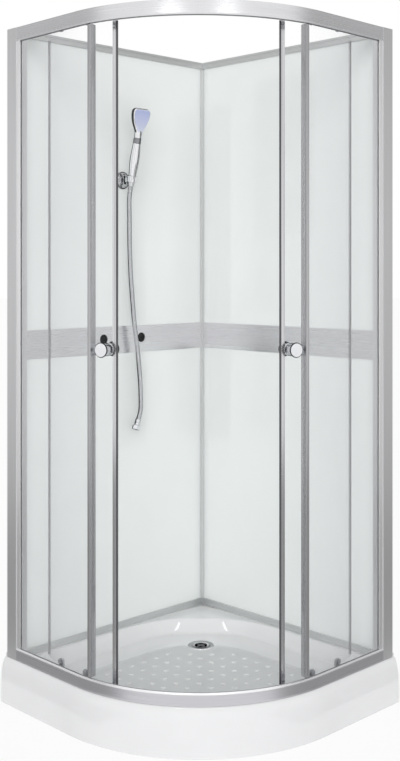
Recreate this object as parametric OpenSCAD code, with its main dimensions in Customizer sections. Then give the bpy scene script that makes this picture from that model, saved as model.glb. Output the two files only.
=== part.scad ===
// Quadrant shower cabin with its own back walls, two curved sliding doors and a hand shower.
// Origin: bottom centre of the cabin. The room corner is at -X +Y, the curved front looks to +X -Y.

/* [Cabin] */
// Side of the square that the cabin fills
cabin_side = 900; // [880:10:940]
// Height from the floor to the top of the rail
cabin_h = 2150; // [2050:10:2250]
// Radius of the curved front at the foot of the tray
front_r = 540; // [535:1:545]
// How far the rails stand back from the foot of the tray
rail_inset = 20; // [18:1:24]

/* [Tray] */
// Height of the front rim that carries the rail
rim_z = 140; // [136:1:146]
// Height of the ledge along the two walls
ledge_z = 134; // [130:1:135]
// Height of the basin floor
basin_z = 90; // [86:1:94]
// Thickness of the tray shell
tray_t = 5; // [4:0.5:6]
// Height above which the apron curves inwards
apron_bend_z = 40; // [30:1:50]
// Height of the upstand behind the wall frames
upstand_z = 152; // [148:1:158]
// Depth of the skirts at the two walls
skirt_h = 60; // [40:5:80]
// Width of the ledge from the walls to the basin
ledge_w = 46; // [44:1:52]
// Distance from the rail's outer face to the basin
basin_front = 55; // [54:1:60]
// Radius of the basin's two end corners
basin_corner_r = 70; // [60:5:80]
// Radius of the basin's edge across the room corner
basin_back_r = 780; // [740:10:820]
// Distance from the room corner to that edge, along the diagonal
basin_back = 219; // [210:1:226]
// How far the basin's walls lean in on their way down
basin_slope = 42; // [36:1:46]

/* [Grip studs] */
// Diameter of one anti-slip stud
stud_d = 15; // [12:0.5:17]
// Height of one stud
stud_h = 2; // [1:0.5:3]
// Pitch of the stud grid
stud_pitch = 52; // [48:1:56]
// Distance from both walls to the first row
stud_from_wall = 251.5; // [246:0.5:256]
// Distance of the textured floor from both walls
texture_from_wall = 190; // [180:1:200]
// Radius of the textured floor's corner by the drain
texture_r = 255; // [240:1:265]
// Width of the textured floor's edge without studs
texture_edge = 43; // [40:1:46]

/* [Drain] */
// Distance of the drain from both walls
drain_from_wall = 268; // [262:1:274]
// Diameter of the drain's flange
drain_flange_d = 88; // [84:1:96]
// Thickness of the drain's flange
drain_flange_t = 2.5; // [2:0.5:3]
// Radius of the flange's throat
throat_r = 26; // [24:0.5:28]
// Diameter of the grate
grate_d = 43; // [41:0.5:44]
// Radius of the trap's body
trap_r = 55; // [52:1:58]
// Height of the trap's body
trap_h = 70; // [66:1:72]
// Outer radius of the waste spigot
spigot_r = 20; // [18:0.5:22]
// How far the spigot reaches from the drain's centre
spigot_reach = 96; // [90:1:98]

/* [Base frame] */
// Side of the square steel tube
tube_side = 25; // [22:1:28]
// Wall of the steel tube
tube_t = 2; // [1.5:0.5:3]
// Diameter of the levelling studs
leg_d = 12; // [10:1:14]
// Diameter of the foot pads
pad_d = 50; // [44:1:56]
// Height of the foot pads
pad_h = 12; // [10:1:14]
// Height of a levelling nut
nut_h = 10; // [8:0.5:11]
// Width across the flats of a levelling nut
nut_af = 19; // [18:0.5:22]

/* [Wall frame] */
// Distance from the wall to the back of the frame
frame_back = 7; // [6:0.5:8]
// Depth of stiles and bars
frame_depth = 33; // [31:1:36]
// Width of stiles and bars
bar_w = 23; // [22:1:25]
// Thickness of a wall panel
panel_t = 5; // [4:0.5:6]
// How far the panels lie behind the face of the frame
panel_set = 6; // [5:0.5:8]
// How deep the panels sit in their grooves
groove_d = 8; // [6:0.5:9]
// How far the corner post stands proud of the panels
corner_proud = 12; // [10:0.5:14]
// Height of the lower edge of the band
band_z = 1090; // [1060:5:1120]
// Height of the band
band_h = 94; // [88:1:100]
// Thickness of the band
band_t = 12; // [10:0.5:13]
// How far the band stands proud of the panels
band_proud = 2.5; // [1.5:0.5:4]

/* [Mixer holes] */
// Distance between the two mixer holes
mixer_pitch = 170; // [150:1:180]
// Diameter of a mixer hole
mixer_hole_d = 34; // [32:1:38]
// Height of the mixer holes
mixer_z = 1141; // [1136:1:1148]
// Distance of the mixer from the right wall
mixer_from_wall = 422; // [400:1:440]

/* [Posts] */
// Width of a post
post_w = 48; // [44:1:52]
// Depth of a post
post_d = 29; // [27:1:30]
// Wall of the hollow posts
post_t = 2; // [1.5:0.5:3]
// Width of a glazing channel
channel_w = 20; // [18:1:24]
// Length of a rail screw
screw_l = 20; // [16:1:24]
// Diameter of a rail screw
screw_d = 4; // [3.5:0.5:4.5]

/* [Rails] */
// Height of the top rail
top_rail_h = 44; // [42:1:48]
// Height of the bottom rail
bottom_rail_h = 40; // [39:1:42]
// Wall of the rail's outer face
rail_t = 2; // [1.5:0.1:2.2]
// Wall of the rail's inner ribs
rib_t = 1.5; // [1.2:0.1:1.8]
// Width of the slot that holds the fixed glass
glass_slot = 8; // [7.5:0.1:8.5]
// Depth of the glass in its slot
glass_grip = 18; // [16:1:19]
// Height of the track above the rail's lower edge
track_z = 10; // [9:0.5:11]
// Width of the wheel channel
wheel_channel = 15.8; // [15.6:0.1:16.4]
// Height of the lip that keeps the wheels in
lip_h = 3; // [2:0.5:3.5]
// Thickness of the lip
lip_t = 1.2; // [1:0.1:1.3]
// How far the top rail's cover reaches in from its face
cover_w = 39; // [36:1:41]

/* [Glass] */
// Thickness of all panes
glass_t = 4; // [3.5:0.1:4.2]
// Distance from the rail's face to the fixed glass
fixed_glass_set = 4.5; // [4.3:0.1:4.7]
// Distance from the rail's face to the door glass
door_glass_set = 32.8; // [32.7:0.1:34]
// Angle at which the edge profile of a fixed pane starts
edge_from = 5.8; // [5.4:0.1:6]
// Width of the edge profile of a fixed pane
edge_w = 13.5; // [12:0.5:14]
// Depth of the edge profile of a fixed pane
edge_d = 19; // [17:0.5:20]

/* [Doors] */
// How far the left door stands open, in degrees about its pivot
open_left = 24.3; // [23.8:0.1:24.5]
// How far the right door stands open, in degrees about its pivot
open_right = 24.6; // [24:0.1:24.7]
// How far a door's pivot lies to the side of the curve's centre, as a share of the track's radius
pivot_side = 0.05793; // [0.056:0.0005:0.06]
// How far a door's pivot lies behind the curve's centre, as a share of the track's radius
pivot_back = 0.21974; // [0.218:0.0005:0.222]
// Angle from the closing edge to the leading wheel
lead_wheel_a = 14.5; // [14.3:0.1:14.7]
// Angle from the closing edge to the trailing wheel
trail_wheel_a = 29.7; // [29.5:0.1:29.9]
// Angle from the closing edge to the trailing edge
trail_edge_a = 40.5; // [39:0.1:41]
// Angle from the closing edge to the knob
knob_a = 4.6; // [4.4:0.1:4.7]
// Width of the closing profile
lead_w = 12; // [11:0.5:13]
// Depth of the closing profile
lead_d = 11; // [10:0.2:11]
// Thickness of the magnet seal
magnet_t = 3.5; // [3:0.5:4]
// Gap that each closed door keeps from the middle
closed_gap = 0.3; // [0.2:0.1:0.5]
// Width of the trailing seal
seal_w = 10; // [8:0.5:12]
// Thickness of the trailing seal on each side of the glass
seal_t = 1.5; // [1:0.1:1.6]

/* [Knobs] */
// Height of the knobs
knob_z = 1145; // [1100:5:1200]
// Diameter of a knob's disc
knob_disc_d = 45; // [42:0.5:46]
// Diameter of a knob's body
knob_body_d = 39; // [36:0.5:40]
// Thickness of a knob's disc
knob_disc_t = 5; // [4:0.5:6]
// How far a knob stands out from the glass
knob_reach = 31.8; // [29:0.1:32]
// Radius of the knob's stud
knob_stud_r = 4; // [3:0.5:5]

/* [Rollers] */
// Radius of a wheel
wheel_r = 8.5; // [8:0.1:8.8]
// Width of a wheel
wheel_w = 4; // [3.6:0.1:4.2]
// Radius of an axle
axle_r = 3; // [2.6:0.1:3.2]
// Height of a wheel above its track
wheel_lift = 0.3; // [0.2:0.1:0.5]
// Outward offset of the leading wheels from the middle of the channel
lead_out = 1.7; // [1.6:0.1:1.8]
// Outward offset of the trailing wheels from the middle of the channel
trail_out = 0.3; // [0.2:0.1:0.4]
// Half width of a roller holder
holder_r = 11; // [10:0.5:12]
// Thickness of a roller holder
holder_t = 6.5; // [5:0.5:7]
// Height of the bottom holders' bolt above the bottom wheels' axle
holder_rise = 14.7; // [14.5:0.1:16]

/* [Hand shower] */
// Height of the handset's lower end
handset_z = 1669; // [1640:1:1700]
// Distance of the handset's lower end from the left wall
handset_out = 80; // [78:1:84]
// Distance of the hand shower from the right wall
shower_from_wall = 423; // [410:1:436]
// Lean of the handset in degrees
handset_lean = 12.3; // [11:0.1:14]
// Length of the handset
handset_l = 268; // [255:1:280]
// Width of the spray head
head_w = 76; // [70:1:80]
// Thickness of the spray head
head_t = 18; // [16:0.5:20]
// Length of the spray head
head_l = 86; // [80:1:92]
// Radius of the grip at its thickest
grip_r = 16; // [15:0.5:17]
// Radius of the neck
neck_r = 12.5; // [12:0.1:13]
// Radius of the wall rosette
rosette_r = 30; // [28:0.5:34]
// Thickness of the wall rosette
rosette_t = 12; // [10:0.5:14]
// Radius of the hose
hose_r = 8; // [7:0.5:8.5]

/* [Hidden] */
$fn = 96;
// A cut reaches this far past a face, so that no film is left
past = 1;
// Running fit between an axle and its bore
run_fit = 0.05;
// Sliding fit of panels and panes in their grooves
groove_fit = 0.1;
// Gap between a flat holder and the hollow side of a curved pane
seat_fit = 0.15;

half = cabin_side / 2;
straight_run = cabin_side - front_r;
arc_cx = -half + straight_run;
arc_cy = half - straight_run;
rail_r = front_r - rail_inset;

// Tray
basin_r = rail_r - basin_front;
rim_r = basin_r + 3;
under_z = basin_z - tray_t;
floor_r = basin_r - basin_slope;
drain_x = -half + drain_from_wall;
drain_y = half - drain_from_wall;
grate_t = 4;
drain_hole_r = throat_r + 4;
gasket_t = 4;
trap_z = under_z - gasket_t - trap_h;
spigot_z = trap_z + spigot_r + 3;
spigot_wall = 2.5;
collar_l = 3;
apron_steps = 8;

// Base frame
tube_z = under_z - tube_side;
tube_from_wall = 150;
tube_from_end = 60;
foot_from_end = 110;
foot_from_side = 90;
front_share = 0.6889;
front_tube_l = cabin_side * front_share;
tip_foot = 40;
main_x = -half + tube_from_wall;
back_y = half - tube_from_wall;
mid_y = back_y - front_tube_l + tube_from_wall + foot_from_side;
foot_spots = [
  [main_x, -half + foot_from_end], [main_x, half - foot_from_end], [half - foot_from_side, back_y],
  [main_x + front_tube_l - tip_foot, mid_y], [main_x + front_tube_l / 2 + tip_foot / 2, mid_y]
];
leg_seat = 6;

// Wall frame
back_x = -half + frame_back;
face_x = back_x + frame_depth;
panel_x = face_x - panel_set;
post_y = -half + rail_inset;
stile_y = post_y + post_d;
panel_y = stile_y + bar_w;
corner_x = panel_x + corner_proud;
top_bar_z = cabin_h - bar_w;
sill_top = ledge_z + bar_w + 1;
band_top = band_z + band_h;
bar_groove = 1.5;
bar_lip = 7;
mixer_y = half - mixer_from_wall;

// Posts and rails
post_x = back_x + post_w;
rail_run = arc_cx - post_x;
slot_out = rail_r - rail_t;
slot_in = slot_out - glass_slot;
channel_out = slot_in - rib_t;
channel_in = channel_out - wheel_channel;
lip_in = channel_in - lip_t;
track_r = (channel_in + channel_out) / 2;
top_z = cabin_h - top_rail_h;
low_z = rim_z;
low_top = low_z + bottom_rail_h;
slot_top = 20;
low_slot_floor = 18;
port_r = 3.5;
port_at = slot_out - port_r + 0.5;
top_port_z = top_z + top_rail_h * 0.75;
low_port_z = low_z + 9;
bevel = 4;
bevel_h = 5;

// Panes
fixed_out = rail_r - fixed_glass_set;
fixed_in = fixed_out - glass_t;
edge_out = fixed_out + 1.5;
edge_a = edge_w / edge_out * 180 / PI;
edge_grip = 1.1;
door_out = rail_r - door_glass_set;
door_in = door_out - glass_t;
pane_low = low_z + low_slot_floor + 0.5;
pane_high = top_z + glass_grip;
wheel_z_gap = track_z + wheel_lift + wheel_r;
top_axle_z = top_z + wheel_z_gap;
low_axle_z = low_z + wheel_z_gap;
door_low = low_axle_z + 5.2;
door_high = top_axle_z + 15;
lead_high = top_z + 7;
seal_low = door_low + 4;
seal_high = top_z - 4;

// Doors in their closed place, measured from the left end of the curve
mid_a = 45;
function arc_deg(length, radius) = length / radius * 180 / PI;
magnet_end_a = mid_a - arc_deg(closed_gap, door_out);
magnet_a = magnet_end_a - arc_deg(magnet_t, door_out);
lead_a = magnet_a - arc_deg(lead_w, door_out);
pane_end_a = magnet_a - arc_deg(lead_w / 3, door_out);
trail_a = mid_a - trail_edge_a;
seal_a = arc_deg(seal_w, door_out);
lead_axle_a = mid_a - lead_wheel_a;
trail_axle_a = mid_a - trail_wheel_a;
knob_at_a = mid_a - knob_a;
lead_in = door_out + 3.8 - lead_d;
pivot_x = arc_cx - pivot_side * track_r;
pivot_y = arc_cy + pivot_back * track_r;

// Roller parts
bush_r = 5;
bush_l = 3.3;
shoulder_r = 4.5;
cap_t = 1;
side_gap = 0.1;
holder_bolt_r = 4;
holder_head_r = 8;
holder_head_t = 2;
foot_h = 4;
holder_cap = 7.5;
holder_corner = 5;
foot_out = door_out + 6.8;
stop_l = 12;
stop_h = 9;
stop_w = 10;

// Hand shower
shower_y = half - shower_from_wall;
handset_x = -half + handset_out;
swivel_x = handset_x - 19;
swivel_z = handset_z + 22;
barrel_r = 8;
barrel_l = 16;
ear_t = 4;
ear_gap = 0.4;
pin_r = 3;
ring_low = 14;
ring_h = 22;
ring_t = 4.5;
nut_r = 11;
foot_r = 11.6;
ring_fit = 0.1;
grip_z = 93;
neck_z = handset_l - head_l - 14;
face_t = 3;

// Route of the hose: x and y from the left and right walls, z from the floor
HOSE_ROUTE = [
  [80, 423, 1669], [71, 422, 1622], [67, 418, 1553], [66, 416, 1455], [66, 411, 1358],
  [66, 404, 1282], [66, 394, 1188], [66, 380, 1100], [66, 372, 1030], [66, 367, 977],
  [66, 365, 917], [66, 367, 886], [66, 378, 855]
];
hose_steps = 2;
hose_sides = 10;
hose_end_tilt = 19;
hose_nut_l = 34;
hose_nut_af = 24;

// Sweeps a profile, x out from the curve's centre and y up, along the left straight stretch
module straight_stretch(from, to) {
  translate([arc_cx - from, arc_cy, 0]) rotate([90, 0, -90]) linear_extrude(to - from) children();
}

// Sweeps a profile round the curve between two angles, from 0 at the left end to 90 at the right
module arc_stretch(from, to) {
  translate([arc_cx, arc_cy, 0]) rotate([0, 0, from - 90]) rotate_extrude(angle = to - from) children();
}

// Sweeps a profile along the whole front: left straight, curve, right straight
module front_sweep(run) {
  straight_stretch(0, run) children();
  arc_stretch(0, 90) children();
  mirror([1, 1, 0]) straight_stretch(0, run) children();
}

// Turns +Z to point out of the curve at one angle and height
module outward(angle, z) {
  translate([arc_cx, arc_cy, z]) rotate([0, 0, angle - 90]) rotate([0, 90, 0]) children();
}

// A rectangle between two radii and two heights
module profile_box(r0, r1, z0, z1) {
  translate([r0, z0]) square([r1 - r0, z1 - z0]);
}

module right_side() {
  mirror([1, 1, 0]) children();
}

// Plan of the floor inside the front curve of one radius
module quadrant(r) {
  translate([arc_cx, arc_cy]) circle(r);
  translate([-half, arc_cy - r]) square([straight_run, half - arc_cy + r]);
  translate([-half, arc_cy]) square([straight_run + r, straight_run]);
}

// Plan of the basin, drawn in by an inset
module basin_plan(inset) {
  offset(r = basin_corner_r - inset, $fn = 48) offset(delta = -basin_corner_r) intersection() {
    quadrant(basin_r);
    translate([-half + ledge_w, -half]) square([cabin_side, cabin_side - ledge_w]);
    back_shift = (basin_back + basin_back_r) / sqrt(2);
    translate([-half + back_shift, half - back_shift]) circle(basin_back_r);
  }
}

// A hollow between two plans of the basin, open at the top
module basin_hollow(z, grow) {
  slope_h = ledge_z - basin_z;
  hull() {
    translate([0, 0, z]) linear_extrude(0.1) basin_plan(basin_slope - grow);
    translate([0, 0, z + slope_h]) linear_extrude(0.1) basin_plan(-grow);
  }
}

// Radius and height of the apron's face, a quarter ellipse above a straight foot
function apron_point(a, t) = [
  front_r - t - rail_inset * (1 - cos(a)),
  apron_bend_z + (rim_z - t - apron_bend_z) * sin(a)
];

module apron_profile() {
  face = [for (i = [0:apron_steps]) apron_point(i * 90 / apron_steps, 0)];
  inner = [for (i = [apron_steps:-1:0]) apron_point(i * 90 / apron_steps, tray_t)];
  polygon(concat(
    [[front_r, 0]], face, [[rim_r, rim_z], [rim_r, ledge_z - tray_t], [rim_r + 20, ledge_z - tray_t]],
    inner, [[front_r - tray_t, 0]]
  ));
}

// One stud of the grid is kept where it lies on the textured floor and clear of the drain
function stud_fits(x, y) =
  norm([max(x - arc_cx, 0), max(arc_cy - y, 0)]) < floor_r - stud_d
  && norm([x - drain_x, y - drain_y]) > drain_flange_d / 2 + stud_d
  && norm([min(x - (-half + texture_from_wall + texture_r), 0), max(y - (half - texture_from_wall - texture_r), 0)])
    < texture_r - texture_edge;

module grip_studs() {
  rows = floor((cabin_side - stud_from_wall) / stud_pitch);
  for (i = [0:rows]) {
    for (j = [0:rows]) {
      x = -half + stud_from_wall + i * stud_pitch;
      y = half - stud_from_wall - j * stud_pitch;
      if (stud_fits(x, y)) {
        translate([x, y]) circle(d = stud_d);
      }
    }
  }
}

module wall_edge() {
  translate([-half, -half + rail_inset, ledge_z - tray_t])
    cube([frame_back, cabin_side - rail_inset, upstand_z - ledge_z + tray_t]);
  translate([-half, -half + front_r / 4, ledge_z - skirt_h])
    cube([tray_t, cabin_side - front_r / 4, skirt_h]);
}

module tray() {
  color("white") difference() {
    union() {
      front_sweep(straight_run) apron_profile();
      translate([0, 0, ledge_z - tray_t]) linear_extrude(tray_t) intersection() {
        quadrant(rim_r + past);
        square(cabin_side, center = true);
      }
      wall_edge();
      right_side() wall_edge();
      difference() {
        basin_hollow(under_z, tray_t);
        basin_hollow(basin_z, 0);
      }
      translate([0, 0, basin_z - past]) linear_extrude(stud_h + past) grip_studs();
    }
    translate([0, 0, stud_h]) basin_hollow(basin_z, 0);
    translate([drain_x, drain_y, under_z - past]) cylinder(r = drain_hole_r, h = tray_t + 2 * past);
  }
}

module square_tube(l) {
  difference() {
    cube([l, tube_side, tube_side]);
    translate([-past, tube_t, tube_t])
      cube([l + 2 * past, tube_side - 2 * tube_t, tube_side - 2 * tube_t]);
  }
}

module tray_frame() {
  color("dimgray") difference() {
    union() {
      translate([main_x + tube_side / 2, -half + tube_from_end, tube_z]) rotate([0, 0, 90])
        square_tube(cabin_side - 2 * tube_from_end);
      translate([main_x + tube_side / 2, back_y - tube_side / 2, tube_z])
        square_tube(half - tube_from_end - main_x - tube_side / 2);
      translate([main_x + tube_side / 2, mid_y - tube_side / 2, tube_z]) square_tube(front_tube_l);
    }
    for (p = foot_spots) {
      translate([p[0], p[1], tube_z - past]) cylinder(r = leg_d / 2 + run_fit, h = tube_side + 2 * past);
    }
  }
}

module foot_studs() {
  color("silver") for (p = foot_spots) {
    translate([p[0], p[1], leg_seat]) cylinder(d = leg_d, h = under_z - past - leg_seat);
  }
}

module foot_nuts() {
  color("silver") for (p = foot_spots) {
    translate([p[0], p[1], tube_z - nut_h]) difference() {
      cylinder(r = nut_af / sqrt(3), h = nut_h, $fn = 6);
      translate([0, 0, -past]) cylinder(r = leg_d / 2 + run_fit, h = nut_h + 2 * past);
    }
  }
}

module foot_pads() {
  color("black") for (p = foot_spots) {
    translate([p[0], p[1], 0]) difference() {
      union() {
        cylinder(d = pad_d, h = pad_h / 2);
        translate([0, 0, pad_h / 2]) cylinder(d1 = pad_d, d2 = leg_d * 2, h = pad_h / 2);
      }
      translate([0, 0, leg_seat]) cylinder(r = leg_d / 2 + run_fit, h = pad_h);
    }
  }
}

module drain_flange() {
  grate_seat = grate_d / 2 + 2;
  color("lightgray") translate([drain_x, drain_y, basin_z]) difference() {
    union() {
      cylinder(d = drain_flange_d, h = drain_flange_t);
      translate([0, 0, -tray_t - gasket_t]) cylinder(r = throat_r, h = tray_t + gasket_t + past);
    }
    translate([0, 0, -grate_t + drain_flange_t]) cylinder(r = grate_seat - 1.9, h = grate_t + past);
    translate([0, 0, -tray_t - gasket_t - past]) cylinder(r = grate_seat - 6, h = tray_t + gasket_t + 4 * past);
  }
}

module drain_gasket() {
  color("black") translate([drain_x, drain_y, under_z - gasket_t]) difference() {
    cylinder(r = drain_flange_d / 2, h = gasket_t);
    translate([0, 0, -past]) cylinder(r = throat_r + run_fit, h = gasket_t + 2 * past);
  }
}

module drain_grate() {
  slots = 4;
  color("dimgray") translate([drain_x, drain_y, basin_z + drain_flange_t - grate_t]) difference() {
    cylinder(d = grate_d, h = grate_t);
    for (i = [0:slots - 1]) {
      rotate([0, 0, i * 360 / slots]) translate([grate_d / 8, grate_d / 8, -past])
        cube([grate_d / 6, grate_d / 6, grate_t + 2 * past]);
    }
  }
}

module drain_trap() {
  color("white") translate([drain_x, drain_y, 0]) difference() {
    union() {
      translate([0, 0, trap_z]) cylinder(r = trap_r, h = trap_h);
      translate([0, 0, spigot_z]) rotate([0, -90, 0]) cylinder(r = spigot_r, h = spigot_reach);
      translate([0, 0, spigot_z]) rotate([0, -90, 0]) cylinder(r = spigot_r + 3, h = trap_r + collar_l);
    }
    translate([0, 0, trap_z + tray_t]) cylinder(r = throat_r - 2, h = trap_h);
    translate([0, 0, spigot_z]) rotate([0, -90, 0]) cylinder(r = spigot_r - spigot_wall, h = spigot_reach + past);
  }
}

// The space of a wall panel, or of its grooves with a fit added
module panel_space(z0, z1, fit) {
  translate([panel_x - panel_t - fit, panel_y - groove_d - fit, z0 - groove_d - fit])
    cube([panel_t + 2 * fit, -corner_x - panel_y + 2 * groove_d + 2 * fit, z1 - z0 + 2 * groove_d + 2 * fit]);
}

module all_grooves() {
  panel_space(sill_top, band_z, groove_fit);
  panel_space(band_top, top_bar_z, groove_fit);
}

module upper_panel() {
  color("gainsboro") panel_space(band_top, top_bar_z, 0);
}

module lower_panel() {
  color("gainsboro") panel_space(sill_top, band_z, 0);
}

module corner_post() {
  side = corner_x - back_x;
  inner = side - panel_x + back_x + panel_t;
  color("silver") difference() {
    translate([back_x, -corner_x, sill_top]) cube([side, side, top_bar_z - sill_top]);
    translate([back_x + post_t, -back_x - inner + post_t, sill_top - past])
      cube([inner - 2 * post_t, inner - 2 * post_t, cabin_h]);
    all_grooves();
    right_side() all_grooves();
  }
}

module stile() {
  color("silver") difference() {
    translate([back_x, stile_y, rim_z]) cube([frame_depth, bar_w, cabin_h - rim_z]);
    translate([back_x + post_t, stile_y + post_t, rim_z - past])
      cube([frame_depth - panel_set - panel_t - 2 * post_t, bar_w - 2 * post_t, cabin_h]);
    all_grooves();
  }
}

// Section of a wall bar with a shallow groove along its face
module bar_profile(h) {
  polygon([
    [0, 0], [frame_depth, 0], [frame_depth, bar_lip], [frame_depth - bar_groove, bar_lip + 1],
    [frame_depth - bar_groove, h - bar_lip - 1], [frame_depth, h - bar_lip], [frame_depth, h], [0, h]
  ]);
}

// A bar from the stile to its mitre at the room corner
module wall_bar(z0, h) {
  color("silver") difference() {
    translate([back_x, half, z0]) rotate([90, 0, 0]) linear_extrude(half - panel_y) difference() {
      bar_profile(h);
      translate([post_t, post_t]) square([frame_depth - panel_set - panel_t - 2 * post_t, h - 2 * post_t]);
    }
    translate([0, 0, z0 - past]) rotate([0, 0, -45]) translate([-cabin_side, 0, 0])
      cube([2 * cabin_side, cabin_side, h + 2 * past]);
    all_grooves();
  }
}

module band() {
  color("darkgray") difference() {
    translate([panel_x + band_proud - band_t, panel_y, band_z]) cube([band_t, -corner_x - panel_y, band_h]);
    all_grooves();
  }
}

module left_band() {
  color("darkgray") difference() {
    band();
    for (side = [-1, 1]) {
      translate([panel_x - band_t - past, mixer_y + side * mixer_pitch / 2, mixer_z]) rotate([0, 90, 0])
        cylinder(d = mixer_hole_d, h = 2 * band_t + 2 * past);
    }
  }
}

// Axis of a rail screw, from the inner face of the post's front wall into the rail
module screw_axis(z) {
  translate([post_x - post_t, arc_cy - port_at, z]) rotate([0, 90, 0]) children();
}

module post() {
  color("silver") difference() {
    translate([back_x, post_y, rim_z]) cube([post_w, post_d, cabin_h - rim_z]);
    translate([back_x + post_t, post_y + post_t, rim_z - past])
      cube([post_w - 2 * post_t, post_d - 2 * post_t, cabin_h]);
    for (z = [top_port_z, low_port_z]) {
      screw_axis(z) translate([0, 0, -past]) cylinder(r = screw_d / 2 + run_fit, h = post_t + 2 * past);
      screw_axis(z) translate([0, 0, -post_w]) cylinder(r = screw_d + 1, h = post_w / 2);
    }
  }
}

module glazing_channel() {
  depth = glass_t + 6;
  color("whitesmoke") difference() {
    translate([post_x, arc_cy - fixed_out - 3, low_top]) cube([channel_w, depth, top_z - low_top]);
    translate([post_x + channel_w - groove_d - 4, arc_cy - fixed_out - groove_fit, low_top - past])
      cube([channel_w, glass_t + 2 * groove_fit, cabin_h]);
  }
}

module screw_port(z) {
  translate([port_at, z]) difference() {
    circle(r = port_r);
    circle(r = screw_d / 2 + run_fit);
  }
}

module track_profile(z) {
  profile_box(lip_in, slot_in, z + track_z - rail_t, z + track_z);
  profile_box(lip_in, channel_in, z + track_z - rail_t, z + track_z + lip_h);
}

module top_rail() {
  color("silver") front_sweep(rail_run) {
    profile_box(slot_out, rail_r, top_z, cabin_h);
    profile_box(rail_r - cover_w, rail_r, cabin_h - rail_t, cabin_h);
    profile_box(channel_out, slot_in, top_z, top_z + slot_top + rib_t);
    profile_box(channel_out, rail_r, top_z + slot_top, top_z + slot_top + rib_t);
    track_profile(top_z);
    screw_port(top_port_z);
  }
}

module bottom_rail() {
  color("silver") front_sweep(rail_run) {
    polygon([
      [slot_out, low_z], [rail_r, low_z], [rail_r, low_top - 1 - bevel_h], [rail_r - bevel, low_top - 1],
      [rail_r - bevel, low_top - 3.5], [slot_out, low_top - 1 - bevel_h]
    ]);
    profile_box(lip_in, rail_r, low_z, low_z + rail_t);
    profile_box(channel_out, slot_in, low_z, low_top - 2);
    profile_box(channel_out, rail_r, low_z + low_slot_floor - rib_t, low_z + low_slot_floor);
    profile_box(lip_in, channel_in, low_z, low_z + track_z);
    track_profile(low_z);
    screw_port(low_port_z);
  }
}

// Gaskets beside the fixed glass, in the rails' slots and in the glazing channel
module pane_gaskets() {
  pane_run = arc_cx - post_x - channel_w;
  edge = 2.5;
  for (z = [[low_top - 12, low_top + 0.8], [top_z - 1.5, top_z + 10]]) {
    straight_stretch(0, pane_run) profile_box(slot_in, fixed_in, z[0], z[1]);
    arc_stretch(0, edge_from) profile_box(slot_in, fixed_in, z[0], z[1]);
  }
  for (z = [[low_top - 14, low_top - 1 - bevel_h], [top_z - 1.5, top_z + 10]]) {
    straight_stretch(0, pane_run) profile_box(fixed_out, slot_out, z[0], z[1]);
    arc_stretch(0, edge_from) profile_box(fixed_out, slot_out, z[0], z[1]);
  }
  for (r = [fixed_in - 2, fixed_out]) {
    straight_stretch(pane_run - edge, pane_run) profile_box(r, r + 2, low_top + 1, top_z - 2);
  }
}

module glazing_gaskets() {
  doorway_from = edge_from + edge_a + 0.1;
  color([0.2, 0.2, 0.22]) {
    pane_gaskets();
    right_side() pane_gaskets();
    arc_stretch(doorway_from, 90 - doorway_from) profile_box(slot_in, rail_r - bevel, low_top - 10, low_top - 1.5);
    arc_stretch(doorway_from, 90 - doorway_from) profile_box(slot_in, slot_out, top_z - 1.5, top_z + 8);
  }
}

module fixed_pane() {
  color([0.8, 0.85, 0.9, 0.35]) {
    straight_stretch(0, arc_cx - post_x - channel_w + groove_d) profile_box(fixed_in, fixed_out, pane_low, pane_high);
    arc_stretch(0, edge_from + edge_grip) profile_box(fixed_in, fixed_out, pane_low, pane_high);
  }
}

module edge_profile() {
  fin_r = edge_out - edge_d;
  color("silver") difference() {
    union() {
      arc_stretch(edge_from, edge_from + edge_a) profile_box(fin_r, edge_out, low_top + 1, top_z - 2);
      arc_stretch(edge_from + edge_a / 3, edge_from + edge_a * 2 / 3)
        profile_box(fin_r - 5, fin_r + past, low_top + 1, top_z - 2);
    }
    arc_stretch(edge_from - 1, edge_from + edge_grip + 0.05)
      profile_box(fixed_in - groove_fit, fixed_out + groove_fit, low_z, cabin_h);
  }
}

// Puts a part of the closed left door where that door stands open
module open_left_door() {
  translate([pivot_x, pivot_y, 0]) rotate([0, 0, -open_left]) translate([-pivot_x, -pivot_y, 0]) children();
}

// Puts a part of the closed left door where the right door stands open
module open_right_door() {
  right_side() translate([pivot_x, pivot_y, 0]) rotate([0, 0, -open_right])
    translate([-pivot_x, -pivot_y, 0]) children();
}

// Place of a wheel in the closed door: angle, height and radius
function wheel_spot(lead, top) = [
  lead ? lead_axle_a : trail_axle_a,
  top ? top_axle_z : low_axle_z,
  track_r + (lead ? lead_out : trail_out)
];

module door_pane() {
  color([0.8, 0.85, 0.9, 0.35]) difference() {
    arc_stretch(trail_a, pane_end_a) profile_box(door_in, door_out, door_low, door_high);
    for (lead = [true, false]) {
      spot = wheel_spot(lead, true);
      outward(spot[0], spot[1]) cylinder(r = bush_r + run_fit, h = rail_r);
      outward(spot[0], low_axle_z + holder_rise) cylinder(r = holder_bolt_r + run_fit, h = rail_r);
    }
    outward(knob_at_a, knob_z) cylinder(r = knob_stud_r + run_fit, h = rail_r);
  }
}

module lead_profile() {
  color("silver") difference() {
    arc_stretch(lead_a, magnet_a) profile_box(lead_in, lead_in + lead_d, door_low - 2, lead_high);
    arc_stretch(lead_a - 1, pane_end_a + 0.03)
      profile_box(door_in - groove_fit, door_out + groove_fit, low_z, cabin_h);
  }
}

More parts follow.
